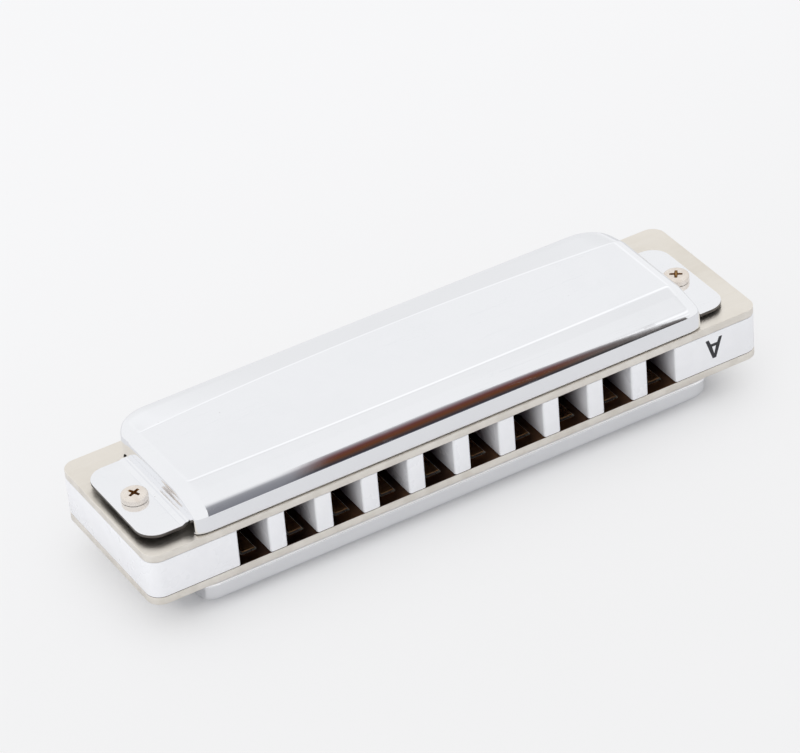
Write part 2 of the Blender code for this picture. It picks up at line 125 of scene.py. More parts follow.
def meshPoints(mesh):
    points = np.empty(len(mesh.vertices) * 3, np.float32)
    mesh.vertices.foreach_get("co", points)
    return points.reshape(-1, 3)


def setPoints(mesh, points):
    mesh.vertices.foreach_set("co", np.asarray(points, np.float32).ravel())
    mesh.update()


# A node's low and high corners in millimetres.
def boxOf(node):
    low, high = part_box(node)
    return np.array(low) / mm, np.array(high) / mm


def middleOf(node):
    low, high = boxOf(node)
    return (low + high) / 2


# Points on a circle between two angles in degrees, both ends included.
def arcPoints(cx, cy, radius, start, end, steps):
    angle = np.radians(np.linspace(start, end, steps + 1))
    return np.stack([cx + radius * np.cos(angle), cy + radius * np.sin(angle)], axis=1)


# A box outline with quarter circles at its corners, counter-clockwise.
def roundedBox(x0, y0, x1, y1, radius, steps):
    left, right, low, high = x0 + radius, x1 - radius, y0 + radius, y1 - radius
    corners = [(right, low, -90), (right, high, 0), (left, high, 90), (left, low, 180)]
    return np.concatenate([arcPoints(x, y, radius, turn, turn + 90, steps) for x, y, turn in corners])


# A hole's outline runs clockwise, so that the material is on its left like the outer one's.
def roundHole(cx, cy, radius, steps=28):
    return arcPoints(cx, cy, radius, 360, 0, steps)[:-1]


# Outlines of the holes for the plates' screws and the covers' bolts.
def screwHoles(screwRadius, boltRadius):
    sizes = {f"upper_plate_screw_{number}": screwRadius for number in (1, 2, 3)}
    sizes.update({f"cover_screw_{word}": boltRadius for word in ("left", "right")})
    return [roundHole(*middleOf(node)[:2], radius) for node, radius in sizes.items()]


# Each point moves into the material, along the mean of its two edge normals, so both edges move by the
# distance.
def offsetLoop(loop, distance):
    ahead = np.roll(loop, -1, axis=0) - loop
    ahead /= np.linalg.norm(ahead, axis=1, keepdims=True)
    outward = np.stack([ahead[:, 1], -ahead[:, 0]], axis=1)
    mitre = outward + np.roll(outward, 1, axis=0)
    mitre /= (mitre * outward).sum(axis=1, keepdims=True)
    return loop - distance * mitre


# The points of outlines one over another, each outline at its own height.
def stackRings(rings, heights):
    z = np.broadcast_to(heights[:, None, None], rings.shape[:2] + (1,))
    return np.concatenate([rings, z], axis=2).reshape(-1, 3)


# A flat piece from its outlines: every wall ends in quarter circles, and the flat faces fill between them.
# The attribute edge is 1 on the rounded rims and 0 from the margin on; inner is 1 on the face at that
# height.
def slabMesh(name, loops, low, high, material, rounding, margin, innerFace=None):
    turn = np.linspace(0, np.pi / 2, 4)
    inset = np.concatenate([rounding * (1 - np.cos(turn)), [rounding + margin]])
    rise = np.concatenate([rounding * (1 - np.sin(turn)), [0.0]])
    insets = np.concatenate([inset[::-1], inset])
    heights = np.concatenate([low + rise[::-1], high - rise])
    points, faces, bottom, top = [], [], [], []
    start = 0
    for loop in loops:
        rings = np.stack([offsetLoop(loop, amount) for amount in insets])
        points.append(stackRings(rings, heights))
        faces += (start + gridFaces(len(insets), len(loop), closeColumns=True)).tolist()
        first = start + np.arange(len(loop))
        bottom.append(first)
        top.append(first + (len(insets) - 1) * len(loop))
        start += len(points[-1])
    flat = [[Vector((x, y, 0)) for x, y in offsetLoop(loop, inset[-1])] for loop in loops]
    caps = np.array(tessellate_polygon(flat))
    faces += np.concatenate(top)[caps].tolist() + np.concatenate(bottom)[caps].tolist()
    mesh = meshFrom(name, np.concatenate(points), faces, material)
    z = meshPoints(mesh)[:, 2] / mm
    slack = rounding * 0.02
    setValues(mesh, "edge", np.minimum(np.abs(z - low), np.abs(z - high)) > slack)
    if innerFace is not None:
        setValues(mesh, "inner", np.abs(z - innerFace) < slack)
    return mesh


# The points of a profile of radius and height carried round the Z axis.
def turnedPoints(profile, sides):
    angle = np.linspace(0, 2 * np.pi, sides, endpoint=False)
    r, z = np.asarray(profile, float).T
    rings = np.stack([np.outer(r, np.cos(angle)), np.outer(r, np.sin(angle))], axis=-1)
    return stackRings(rings, z)


# A turned piece; the points on its axis merge into one.
def turnedMesh(name, profile, sides, material):
    faces = gridFaces(len(profile), sides, closeColumns=True)
    return meshFrom(name, turnedPoints(profile, sides), faces, material)


# A path through corners, each rounded by a circle arc of its radius (a rational quadratic curve).
def filletPath(corners, radii, arcSteps, lineSteps):
    corners = np.asarray(corners, float)
    t = np.linspace(0, 1, arcSteps + 1)[:, None]
    path = [corners[:1]]
    for before, corner, after, radius in zip(corners, corners[1:], corners[2:], radii):
        inward, outward = before - corner, after - corner
        inward /= np.linalg.norm(inward)
        outward /= np.linalg.norm(outward)
        half = math.acos(np.clip(inward @ outward, -1, 1)) / 2
        reach = radius / math.tan(half)
        start, end, weight = corner + reach * inward, corner + reach * outward, math.sin(half)
        line = np.linspace(path[-1][-1], start, lineSteps + 1)[1:-1]
        arc = (1 - t) ** 2 * start + 2 * weight * t * (1 - t) * corner + t ** 2 * end
        path += [line, arc / ((1 - t) ** 2 + 2 * weight * t * (1 - t) + t ** 2)]
    path.append(np.linspace(path[-1][-1], corners[-1], lineSteps + 1)[1:])
    return np.concatenate(path)


# The mesh as one modifier leaves it.
def modified(mesh, kind, **settings):
    holder = addObject("holder", mesh)
    modifier = holder.modifiers.new(kind, kind)
    for key, value in settings.items():
        setattr(modifier, key, value)
    graph = bpy.context.evaluated_depsgraph_get()
    made = bpy.data.meshes.new_from_object(holder.evaluated_get(graph))
    bpy.data.objects.remove(holder)
    return made


# Cuts the second mesh out of the first; the new faces keep the cutter's own material.
def cutOut(mesh, cutterMesh):
    cutter = addObject("cutter", cutterMesh)
    made = modified(mesh, "BOOLEAN", operation="DIFFERENCE", material_mode="TRANSFER", solver="EXACT",
                    object=cutter)
    bpy.data.objects.remove(cutter)
    return made


# Shader nodes: each helper works in the tree of the sockets that it is given

# A value that is a socket is linked, and any other is set.
def fillInputs(node, inputs):
    for key, value in inputs.items():
        if isinstance(value, bpy.types.NodeSocket):
            node.id_data.links.new(value, node.inputs[key])
        else:
            node.inputs[key].default_value = value


def addNode(kind, inputs, **settings):
    sockets = [value for value in inputs.values() if isinstance(value, bpy.types.NodeSocket)]
    made = sockets[0].id_data.nodes.new("ShaderNode" + kind)
    for key, value in settings.items():
        setattr(made, key, value)
    fillInputs(made, inputs)
    return made


def calc(operation, *values):
    return addNode("Math", dict(enumerate(values)), operation=operation).outputs[0]


def plus(first, second):
    return calc("ADD", first, second)


def minus(first, second):
    return calc("SUBTRACT", first, second)


def times(first, second):
    return calc("MULTIPLY", first, second)


def vectorCalc(operation, *values):
    return addNode("VectorMath", dict(enumerate(values)), operation=operation).outputs[0]


def partOf(vector, axis):
    return addNode("SeparateXYZ", {"Vector": vector}).outputs[axis]


# A mesh attribute's value, read in the socket's tree.
def attribute(beside, name):
    made = beside.id_data.nodes.new("ShaderNodeAttribute")
    made.attribute_name = name
    return made.outputs["Fac"]


def noise(vector, scale, detail, **more):
    return addNode("TexNoise", {"Vector": vector, "Scale": scale, "Detail": detail, **more}).outputs[0]


def remap(value, low, high, toLow=0.0, toHigh=1.0):
    inputs = {"Value": value, "From Min": low, "From Max": high, "To Min": toLow, "To Max": toHigh}
    return addNode("MapRange", inputs, interpolation_type="SMOOTHSTEP").outputs[0]


def blendColor(factor, first, second):
    return addNode("Mix", {0: factor, 6: first, 7: second}, data_type="RGBA").outputs[2]


def colorRamp(factor, stops, interpolation="LINEAR"):
    ramp = addNode("ValToRGB", {"Fac": factor})
    ramp.color_ramp.interpolation = interpolation
    elements = ramp.color_ramp.elements
    while len(elements) < len(stops):
        elements.new(0.5)
    for element, (place, color) in zip(elements, stops):
        element.position = place
        element.color = color
    return ramp.outputs["Color"]


# A node group with a Vector input and inputs of these names and defaults; its outputs are all numbers.
def newGroup(name, inputs, outputs):
    tree = bpy.data.node_groups.new(name, "ShaderNodeTree")
    tree.interface.new_socket("Vector", in_out="INPUT", socket_type="NodeSocketVector")
    for label, value in inputs.items():
        kind = "NodeSocketVector" if isinstance(value, tuple) else "NodeSocketFloat"
        tree.interface.new_socket(label, in_out="INPUT", socket_type=kind).default_value = value
    for label in outputs:
        tree.interface.new_socket(label, in_out="OUTPUT", socket_type="NodeSocketFloat")
    return tree.nodes.new("NodeGroupInput").outputs, tree.nodes.new("NodeGroupOutput")


def closeGroup(end, **outputs):
    fillInputs(end, outputs)
    return end.id_data


# Fine hairlines: noise stretched a long way in one direction, kept only near its middle value.
def makeScratchGroup():
    inputs = {"Scale": 400.0, "Turn": (0, 0, 0), "Width": 0.03, "Cover": 0.5}
    given, end = newGroup("hairScratches", inputs, ["Mask"])
    turned = addNode("Mapping", {"Vector": given["Vector"], "Rotation": given["Turn"],
                                      "Scale": (0.03, 1.0, 1.0)}).outputs[0]
    gap = calc("ABSOLUTE", minus(noise(turned, given["Scale"], 2.0), 0.5))
    line = minus(1.0, calc("DIVIDE", gap, given["Width"]))
    patches = noise(given["Vector"], 90.0, 2.0)
    where = calc("GREATER_THAN", given["Cover"], patches)
    return closeGroup(end, Mask=times(calc("MAXIMUM", line, 0.0), where))


# Soft handling marks: two sizes of warped noise, 0 where clean and 1 where most marked.
def makeSmudgeGroup():
    given, end = newGroup("handlingSmudges", {"Scale": 60.0, "Low": 0.45, "High": 0.7}, ["Mask"])
    broad = noise(given["Vector"], given["Scale"], 4.0, Distortion=0.6)
    fine = noise(given["Vector"], times(given["Scale"], 6.0), 3.0)
    both = plus(times(broad, 0.75), times(fine, 0.25))
    above = minus(both, given["Low"])
    span = minus(given["High"], given["Low"])
    share = addNode("Clamp", {"Value": calc("DIVIDE", above, span)}).outputs[0]
    return closeGroup(end, Mask=share)


# A fine all-over grain, with a slower swell under it: the texture of pressed or moulded surfaces.
def makeGrainGroup():
    given, end = newGroup("surfaceGrain", {"Scale": 3000.0, "Swell": 0.3}, ["Height", "Tone"])
    fine = noise(given["Vector"], given["Scale"], 3.0)
    broad = noise(given["Vector"], times(given["Scale"], 0.06), 2.0)
    return closeGroup(end, Height=plus(fine, times(broad, given["Swell"])), Tone=broad)


# Rolling lines in sheet metal: noise drawn out along X, as a height and as a tone.
def makeRolledGroup():
    inputs = {"Scale": 900.0, "Stretch": (0.02, 1.0, 1.0)}
    given, end = newGroup("rolledLines", inputs, ["Height", "Tone"])
    drawn = addNode("Mapping", {"Vector": given["Vector"], "Scale": given["Stretch"]}).outputs[0]
    lines = noise(drawn, given["Scale"], 5.0, Roughness=0.6)
    return closeGroup(end, Height=lines, Tone=remap(lines, 0.35, 0.65))


# Sparse specks: the middles of some of the cells of a Voronoi pattern.
def makeDustGroup():
    given, end = newGroup("dustSpecks", {"Scale": 700.0, "Share": 0.04, "Size": 0.12}, ["Mask"])
    cells = addNode("TexVoronoi", {"Vector": given["Vector"], "Scale": given["Scale"]})
    pick = addNode("SeparateColor", {"Color": cells.outputs["Color"]}).outputs[0]
    chosen = calc("GREATER_THAN", given["Share"], pick)
    near = calc("GREATER_THAN", given["Size"], cells.outputs["Distance"])
    return closeGroup(end, Mask=times(chosen, near))


# The rim attribute broken up by noise, so that wear along an edge comes and goes.
def makeRimGroup():
    given, end = newGroup("rimWear", {"Scale": 500.0, "Amount": 0.6}, ["Mask"])
    broken = remap(noise(given["Vector"], given["Scale"], 3.0), 0.35, 0.65, 0.3, 1.0)
    worn = times(times(attribute(given["Vector"], "edge"), broken), given["Amount"])
    return closeGroup(end, Mask=worn)


groups = {
    "scratches": makeScratchGroup(),
    "smudges": makeSmudgeGroup(),
    "grain": makeGrainGroup(),
    "rolled": makeRolledGroup(),
    "dust": makeDustGroup(),
    "rim": makeRimGroup(),
}
print("node groups:", ", ".join(groups))


def useGroup(name, coords, **values):
    made = coords.id_data.nodes.new("ShaderNodeGroup")
    made.node_tree = groups[name]
    fillInputs(made, {"Vector": coords, **values})
    return made.outputs


# A Principled material: constant values on the shader's own sockets, and Object coordinates to hand.
def newMaterial(name, **settings):
    material = bpy.data.materials.new(name)
    material.use_nodes = True
    tree = material.node_tree
    shader = tree.nodes["Principled BSDF"]
    fillInputs(shader, settings)
    return material, shader, tree.nodes.new("ShaderNodeTexCoord").outputs["Object"]


# The smudges carry the roughness from one value to the other, and scratches add their share.
def roughness(smudge, clean, dull, scratch, share):
    return plus(remap(smudge, 0.0, 1.0, clean, dull), times(scratch, share))


def addBump(shader, height, strength, distance=0.00002):
    bump = addNode("Bump", {"Height": height, "Strength": strength, "Distance": distance})
    fillInputs(shader, {"Normal": bump.outputs["Normal"]})


# Materials

chromeLook = {
    "clean": (0.93, 0.935, 0.95, 1), "marked": (0.86, 0.87, 0.89, 1), "rubbed": (0.98, 0.98, 0.99, 1),
    "dust": (0.45, 0.43, 0.41, 1), "polished": 0.045, "dulled": 0.14,
}


def makeChrome():
    c = SimpleNamespace(**chromeLook)
    material, shader, coords = newMaterial("coverChrome")
    smudge = useGroup("smudges", coords, Scale=55.0, Low=0.46, High=0.72)["Mask"]
    scratch = useGroup("scratches", coords, Scale=420.0, Turn=(0, 0, 0.35), Width=0.008, Cover=0.43)
    cross = useGroup("scratches", coords, Scale=520.0, Turn=(0, 0, -1.1), Width=0.006, Cover=0.40)
    grain = useGroup("grain", coords, Scale=900.0, Swell=1.4)["Height"]
    dust = useGroup("dust", coords, Scale=620.0, Share=0.012, Size=0.06)["Mask"]
    marks = calc("MAXIMUM", scratch["Mask"], cross["Mask"])
    rubbed = attribute(coords, "rubbed")
    tone = plus(times(smudge, 0.35), times(marks, 0.3))
    color = blendColor(tone, c.clean, c.marked)
    color = blendColor(times(dust, 0.4), color, c.dust)
    # The foot's round is painted near-white and nearly non-metallic: a painted highlight along the lip's foot
    fillInputs(shader, {
        "Base Color": blendColor(rubbed, color, c.rubbed),
        "Roughness": roughness(smudge, c.polished, c.dulled, marks, 0.1),
        "Metallic": minus(1.0, times(rubbed, 0.9)),
    })
    addBump(shader, plus(times(marks, -0.4), grain), 0.04)
    return material


plateLook = {
    "clean": (0.82, 0.775, 0.705, 1), "dull": (0.75, 0.70, 0.62, 1), "rimBright": (0.86, 0.82, 0.755, 1),
    "inner": (0.07, 0.035, 0.022, 1), "innerWorn": (0.17, 0.085, 0.04, 1),
}


def makePlateMetal():
    c = SimpleNamespace(**plateLook)
    material, shader, coords = newMaterial("plateNickelSilver")
    rolled = useGroup("rolled", coords, Scale=1100.0)
    smudge = useGroup("smudges", coords, Scale=90.0, Low=0.42, High=0.68)["Mask"]
    scratch = useGroup("scratches", coords, Scale=500.0, Turn=(0, 0, 0.9), Width=0.012)["Mask"]
    rim = useGroup("rim", coords, Amount=0.7)["Mask"]
    tone = plus(times(rolled["Tone"], 0.12), times(smudge, 0.4))
    # The edges take a brighter cream and are half diffuse: partly a cut-edge finish, partly a painted
    # highlight on the edge faces
    color = blendColor(rim, blendColor(tone, c.clean, c.dull), c.rimBright)
    # The face against the comb is painted near-black brown, varied by the smudges: painted shade inside the
    # channels
    paintedInnerShade = blendColor(smudge, c.inner, c.innerWorn)
    fillInputs(shader, {
        "Base Color": blendColor(attribute(coords, "inner"), color, paintedInnerShade),
        "Roughness": roughness(smudge, 0.30, 0.44, scratch, 0.12),
        "Metallic": minus(1.0, times(rim, 0.5)),
    })
    addBump(shader, minus(rolled["Height"], times(scratch, 0.5)), 0.08)
    return material


combLook = {
    "white": (0.84, 0.845, 0.87, 1), "aged": (0.79, 0.78, 0.76, 1), "rim": (0.88, 0.88, 0.90, 1),
    "channel": (0.10, 0.08, 0.10, 1), "channelFrom": 0.5, "channelTo": 6.5,
}


# White plastic whose channel walls are painted darker towards the reeds: painted shade deep in the channels.
def makeCombPlastic():
    c = SimpleNamespace(**combLook)
    material, shader, coords = newMaterial("combPlastic", Metallic=0.0, IOR=1.49)
    grain = useGroup("grain", coords, Scale=2600.0, Swell=0.25)["Height"]
    smudge = useGroup("smudges", coords, Scale=70.0, Low=0.45, High=0.75)["Mask"]
    scratch = useGroup("scratches", coords, Scale=380.0, Turn=(0.1, 0.2, 0.1), Width=0.006,
                       Cover=0.28)["Mask"]
    rim = useGroup("rim", coords, Amount=0.5)["Mask"]
    color = blendColor(times(smudge, 0.25), c.white, c.aged)
    color = blendColor(rim, color, c.rim)
    # The channel walls fade to a near-black tone with their depth: painted shade
    paintedShade = remap(attribute(coords, "depth"), c.channelFrom, c.channelTo)
    fillInputs(shader, {
        "Base Color": blendColor(paintedShade, color, c.channel),
        "Roughness": roughness(smudge, 0.27, 0.42, scratch, 0.15),
    })
    addBump(shader, minus(grain, times(scratch, 0.8)), 0.03, 0.00003)
    return material


reedLook = {
    "clean": (0.52, 0.30, 0.14, 1), "tarnished": (0.30, 0.15, 0.07, 1), "filed": (0.74, 0.50, 0.28, 1),
    "rim": (0.50, 0.31, 0.16, 1),
}


def makeReedBrass():
    c = SimpleNamespace(**reedLook)
    material, shader, coords = newMaterial("reedBrass", Metallic=1.0)
    lines = useGroup("rolled", coords, Scale=2600.0, Stretch=(1.0, 0.05, 1.0))
    filed = useGroup("scratches", coords, Scale=900.0, Turn=(0, 0, 0.5), Width=0.05, Cover=0.62)["Mask"]
    smudge = useGroup("smudges", coords, Scale=240.0, Low=0.40, High=0.66)["Mask"]
    rim = useGroup("rim", coords, Amount=0.8)["Mask"]
    color = blendColor(smudge, c.clean, c.tarnished)
    color = blendColor(times(filed, 0.2), color, c.filed)
    dull = plus(smudge, times(lines["Tone"], 0.4))
    fillInputs(shader, {
        "Base Color": blendColor(rim, color, c.rim),
        "Roughness": remap(dull, 0.0, 1.4, 0.24, 0.46),
    })
    addBump(shader, plus(lines["Height"], times(filed, -0.6)), 0.35)
    return material


# Plainer surfaces: the smudges lead from the first to the second tone and roughness, over a relief of one
# group. The inside of a cover is dull plating with old breath marks, painted dark as well: painted shade for
# the gaps under the sheet. Small turned parts have dirt in patches and a few scratches. The printed ink has
# pinholes and is thinner in places.
turnedLook = {"metallic": 1.0, "relief": ("grain", {"Scale": 6000.0, "Swell": 0.5}), "scratched": True}
plainLooks = {
    "coverInsideDullShaded": {"tones": ((0.20, 0.19, 0.185, 1), (0.11, 0.10, 0.095, 1)), "rough": (0.34, 0.55),
                    "marks": (120.0, 0.40, 0.66), "bump": 0.2, "metallic": 1.0,
                    "relief": ("rolled", {"Scale": 1400.0}), "scratched": False},
    "rivetCopper": {"tones": ((0.74, 0.46, 0.28, 1), (0.45, 0.25, 0.14, 1)), "rough": (0.25, 0.45),
                    "marks": (700.0, 0.42, 0.68), "bump": 0.2, **turnedLook},
    "screwNickel": {"tones": ((0.86, 0.80, 0.735, 1), (0.78, 0.70, 0.62, 1)), "rough": (0.27, 0.36),
                    "marks": (420.0, 0.42, 0.68), "bump": 0.04, **turnedLook},
    # The screws' cross recesses are coloured a darker brown than their heads
    "recessBrown": {"tones": ((0.42, 0.25, 0.10, 1), (0.20, 0.10, 0.045, 1)), "rough": (0.35, 0.6),
                    "marks": (900.0, 0.42, 0.68), "bump": 0.2, **turnedLook},
    "pitchMarkInk": {"tones": ((0.014, 0.014, 0.018, 1), (0.035, 0.035, 0.045, 1)), "rough": (0.4, 0.6),
                     "marks": (900.0, 0.45, 0.7), "bump": 0.2, "metallic": 0.0,
                     "relief": ("grain", {"Scale": 5000.0, "Swell": 0.6}), "scratched": False},
}


def makePlain(name):
    c = SimpleNamespace(**plainLooks[name])
    material, shader, coords = newMaterial(name, Metallic=c.metallic)
    smudge = useGroup("smudges", coords, **dict(zip(("Scale", "Low", "High"), c.marks)))["Mask"]
    rough = remap(smudge, 0.0, 1.0, *c.rough)
    group, settings = c.relief
    relief = useGroup(group, coords, **settings)["Height"]
    if c.scratched:
        scratch = useGroup("scratches", coords, Scale=900.0, Turn=(0, 0, 0.8), Width=0.02, Cover=0.55)["Mask"]
        rough = plus(rough, times(scratch, 0.2))
        relief = minus(relief, scratch)
    fillInputs(shader, {"Base Color": blendColor(smudge, *c.tones), "Roughness": rough})
    addBump(shader, relief, c.bump)
    return material


chrome = makeChrome()
plateMetal = makePlateMetal()
combPlastic = makeCombPlastic()
reedBrass = makeReedBrass()
coverInsideDullShaded, rivetCopper, screwNickel, recessBrown, markInk = (makePlain(name) for name in plainLooks)
print("materials made")


# Covers: one pressed sheet, lofted from the mouth lip to the back rim and out into a tab at each end.
# Heights are from the reed plate's outer face. The node's lip ends at nodeFoot, and these come nearer.

coverShape = {
    "halfLength": 41.65, "sheet": 0.45, "rise": 5.3,
    "nodeFoot": 0.35, "lipFeet": {"upper_cover": 0.12, "lower_cover": 0.24},
    "lipY": -13.3, "lipTop": 2.27, "lipLean": 0.23, "footRound": 0.4, "rubbedRise": 0.2,
    "filletRadius": 2.0, "frontSlope": 21.0, "bevelY": -9.8, "bevelRadius": 2.5,
    "frontFoldY": -7.9, "frontFoldBow": 0.4, "foldRadius": 2.4,
    "backFoldY": 8.4, "backFoldBow": 1.9, "backEdgeY": 13.35, "backEdgeRise": 4.49,
    "rimRadius": 0.75, "rimFoot": 3.2, "wallBackY": 9.5, "wallSteps": 9,
    "shoulderLength": 2.4, "shoulderDrop": 1.5, "shoulderInset": 0.9, "cornerRadius": 6.0,
    "tabReach": {-1: 48.5, 1: 47.75}, "tabFoot": {-1: 0.8, 1: 0.4},
    "tabFrontY": -10.9, "tabBackY": 7.7, "tabCorner": 3.0,
    "ledgeRise": 0.3, "ledgeLength": 0.6, "ledgeSlope": 0.5, "bendRadius": 0.3, "ledgeRadius": 0.35,
    "boltReach": 45.0, "boltY": -1.5, "boltHole": 1.55,
}


# The mid-length section from the lip's foot to the back rim's foot, as y and height.
def coverBaseProfile(c):
    lean = math.atan2(c.lipLean, c.lipTop - c.lipFoot)
    slope = math.radians(c.frontSlope)
    reach = c.filletRadius * math.tan((math.pi / 2 - slope - lean) / 2)
    cornerY = c.lipY + c.lipLean + reach * math.sin(lean)
    cornerZ = c.lipTop + reach * math.cos(lean)
    corners = [
        (c.lipY, c.lipFoot), (cornerY, cornerZ),
        (c.bevelY, cornerZ + (c.bevelY - cornerY) * math.tan(slope)),
        (c.frontFoldY, c.rise), (c.backFoldY, c.rise),
        (c.backEdgeY, c.backEdgeRise), (c.backEdgeY, c.rimFoot),
    ]
    radii = [c.filletRadius, c.bevelRadius, c.foldRadius, c.foldRadius, c.rimRadius]
    path = filletPath(corners, radii, 12, 4)
    # Close rows at the lip's foot, whose outer corner is rounded later
    rise = c.footRound * (1 - np.cos(np.radians(np.linspace(0, 90, 6)[1:])))
    foot = np.stack([c.lipY + rise * math.tan(lean), c.lipFoot + rise], axis=1)
    return np.concatenate([path[:1], foot, path[1:]])


# 1 at a distance of 0 and 0 from the reach on, along a quarter of an ellipse.
def drawnIn(distance, reach):
    along = np.clip(distance / reach, 0, 1)
    return 1 - np.sqrt(np.clip(1 - (1 - along) ** 2, 0, None))


# The section at each x: the folds bow out mid-length, the shoulder drops and the back corner is round.
def coverSections(c, base, x):
    fromWall = (c.halfLength - np.abs(x))[:, None]
    bow = (x[:, None] / c.halfLength) ** 2
    y, z = base[None, :, 0], base[None, :, 1]
    frontFold = c.frontFoldY + c.frontFoldBow * bow
    backFold = c.backFoldY - c.backFoldBow * bow
    shoulder = drawnIn(fromWall, c.shoulderLength)
    backY = c.backEdgeY - c.cornerRadius * drawnIn(fromWall, c.cornerRadius)
    near = np.clip((c.frontFoldY - y) / (c.frontFoldY - c.lipY), 0, 1)
    across = np.clip((y - c.frontFoldY) / (c.backFoldY - c.frontFoldY), 0, 1)
    along = np.clip((y - c.backFoldY) / (c.backEdgeY - c.backFoldY), 0, 1)
    front = y + c.frontFoldBow * bow * (1 - near) + c.shoulderInset * shoulder * near ** 2
    middle = frontFold + across * (backFold - frontFold)
    back = backFold + along * (backY - backFold)
    newY = np.where(y < c.frontFoldY, front, np.where(y > c.backFoldY, back, middle))
    aboveLip = np.clip(z - c.lipTop, 0, None) / (c.rise - c.lipTop)
    return newY, z - c.shoulderDrop * shoulder * aboveLip


# Distances from the end wall: close together round the shoulder and the corner, wide apart along the
# middle.
def coverStations(c):
    shoulder = c.shoulderLength * (1 - np.cos(np.radians(np.linspace(0, 90, 15))))
    first = math.degrees(math.acos(1 - c.shoulderLength / c.cornerRadius))
    corner = c.cornerRadius * (1 - np.cos(np.radians(np.linspace(first, 90, 9)[1:])))
    middle = np.linspace(c.cornerRadius, c.halfLength, 15)[1:]
    return np.concatenate([shoulder, corner, middle])


# The sheet's line along X from the end wall's foot to the tab's end, as x and height of its upper face.
def tabPath(c, side):
    flat, end = c.tabFoot[side] + c.sheet, c.tabReach[side]
    wall, ledge = c.halfLength, flat + c.ledgeRise
    ledgeEnd = wall + c.ledgeLength
    corners = [(wall, ledge + c.bendRadius + 0.01), (wall, ledge), (ledgeEnd, ledge),
               (ledgeEnd + c.ledgeSlope, flat), (end, flat)]
    path = filletPath(corners, [c.bendRadius, c.ledgeRadius, c.ledgeRadius], 5, 2)[:-2]
    turn = np.radians(np.linspace(0, 90, 9))
    straight = np.linspace(path[-1, 0], end - c.tabCorner, 6)[1:-1]
    outer = np.concatenate([straight, end - c.tabCorner * (1 - np.sin(turn))])
    return np.concatenate([path, np.stack([outer, np.full(len(outer), flat)], axis=1)])


# The end wall from the shoulder to its foot, then the tab: rows of x, y and height, and which quads exist.
def coverEndGrid(c, side, base):
    end = np.array([side * c.halfLength])
    edgeY, edgeZ = (part[0] for part in coverSections(c, base, end))
    stops = np.concatenate([[0], np.cumsum(np.hypot(np.diff(edgeY), np.diff(edgeZ)))])
    firstTab = int(np.argmax(base[:, 1] > c.lipTop))
    share = (stops[firstTab:] - stops[firstTab]) / (stops[-1] - stops[firstTab])
    backFoot = edgeY[-1]
    lipShare = (base[:firstTab, 1] - base[0, 1]) / (base[firstTab, 1] - base[0, 1])
    footY = np.concatenate([
        edgeY[0] + lipShare * (c.tabFrontY - edgeY[0]),
        c.tabFrontY + share * (backFoot - c.tabFrontY),
    ])
    path = tabPath(c, side)
    lift = np.clip((footY - edgeY[0]) / (c.tabFrontY - edgeY[0]), 0, 1)
    footZ = c.lipFoot + (path[0, 1] - c.lipFoot) * lift * lift * (3 - 2 * lift)
    w = np.linspace(0, 1, c.wallSteps + 1)[1:, None]
    wallY = edgeY + w * (footY - edgeY)
    wallZ = edgeZ + w * (footZ - edgeZ)
    across = np.clip((footY - c.tabFrontY) / (backFoot - c.tabFrontY), 0, 1)[None, :]
    x, z = path[1:, 0][:, None], path[1:, 1][:, None]
    pastCorner = np.clip(x - (c.tabReach[side] - c.tabCorner), 0, c.tabCorner)
    pull = c.tabCorner - np.sqrt(np.clip(c.tabCorner ** 2 - pastCorner ** 2, 0, None))
    spread = np.clip((x - c.halfLength) / 1.0, 0, 1)
    frontY = c.tabFrontY + pull
    backY = backFoot + (c.tabBackY - backFoot) * spread - pull
    tabY = frontY + across * (backY - frontY)
    rows = np.concatenate([gridPoints(c.halfLength, wallY, wallZ), gridPoints(x, tabY, z)]) * (side, 1, 1)
    exists = np.ones((len(rows), len(base) - 1), bool)
    exists[c.wallSteps:, :firstTab] = False
    return rows, exists


# The closed part of the back corner below the rim, from the end wall round to where the back opens.
def coverApron(c, side, base, stations):
    footZ = tabPath(c, side)[0, 1]
    d = stations[stations < c.cornerRadius]
    y = c.backEdgeY - c.cornerRadius * drawnIn(d, c.cornerRadius)
    d, y = d[y < c.wallBackY], y[y < c.wallBackY]
    x = side * (c.halfLength - d)
    _, z = coverSections(c, base, x)
    w = np.linspace(0, 1, c.wallSteps + 1)[:, None]
    foot = footZ + (c.lipFoot - footZ) * np.clip(d / d[-1], 0, 1)
    height = z[:, -1] + w * (foot - z[:, -1])
    return gridPoints(x, y, height)


# The outer face of the whole sheet as one open grid and two aprons, in the cover's own frame.
def coverSheet(name, c):
    base = coverBaseProfile(c)
    stations = coverStations(c)
    inner = np.concatenate([-c.halfLength + stations, (c.halfLength - stations)[::-1][1:]])
    y, z = coverSections(c, base, inner)
    middle = gridPoints(inner[:, None], y, z)
    left, leftExists = coverEndGrid(c, -1, base)
    right, rightExists = coverEndGrid(c, 1, base)
    rows = np.concatenate([left[::-1], middle, right])
    whole = np.ones((len(middle) - 1, len(base) - 1), bool)
    exists = np.concatenate([leftExists[::-1], whole, rightExists])
    points = [rows.reshape(-1, 3)]
    faces = [gridFaces(len(rows), len(base)).reshape(exists.shape + (4,))[exists]]
    for side in (-1, 1):
        apron = coverApron(c, side, base, stations)
        faces.append(sum(map(len, points)) + gridFaces(*apron.shape[:2]))
        points.append(apron.reshape(-1, 3))
    mesh = rawMesh(name, np.concatenate(points), np.concatenate(faces), chrome)
    tidyMesh(mesh, 1e-6)
    return mesh
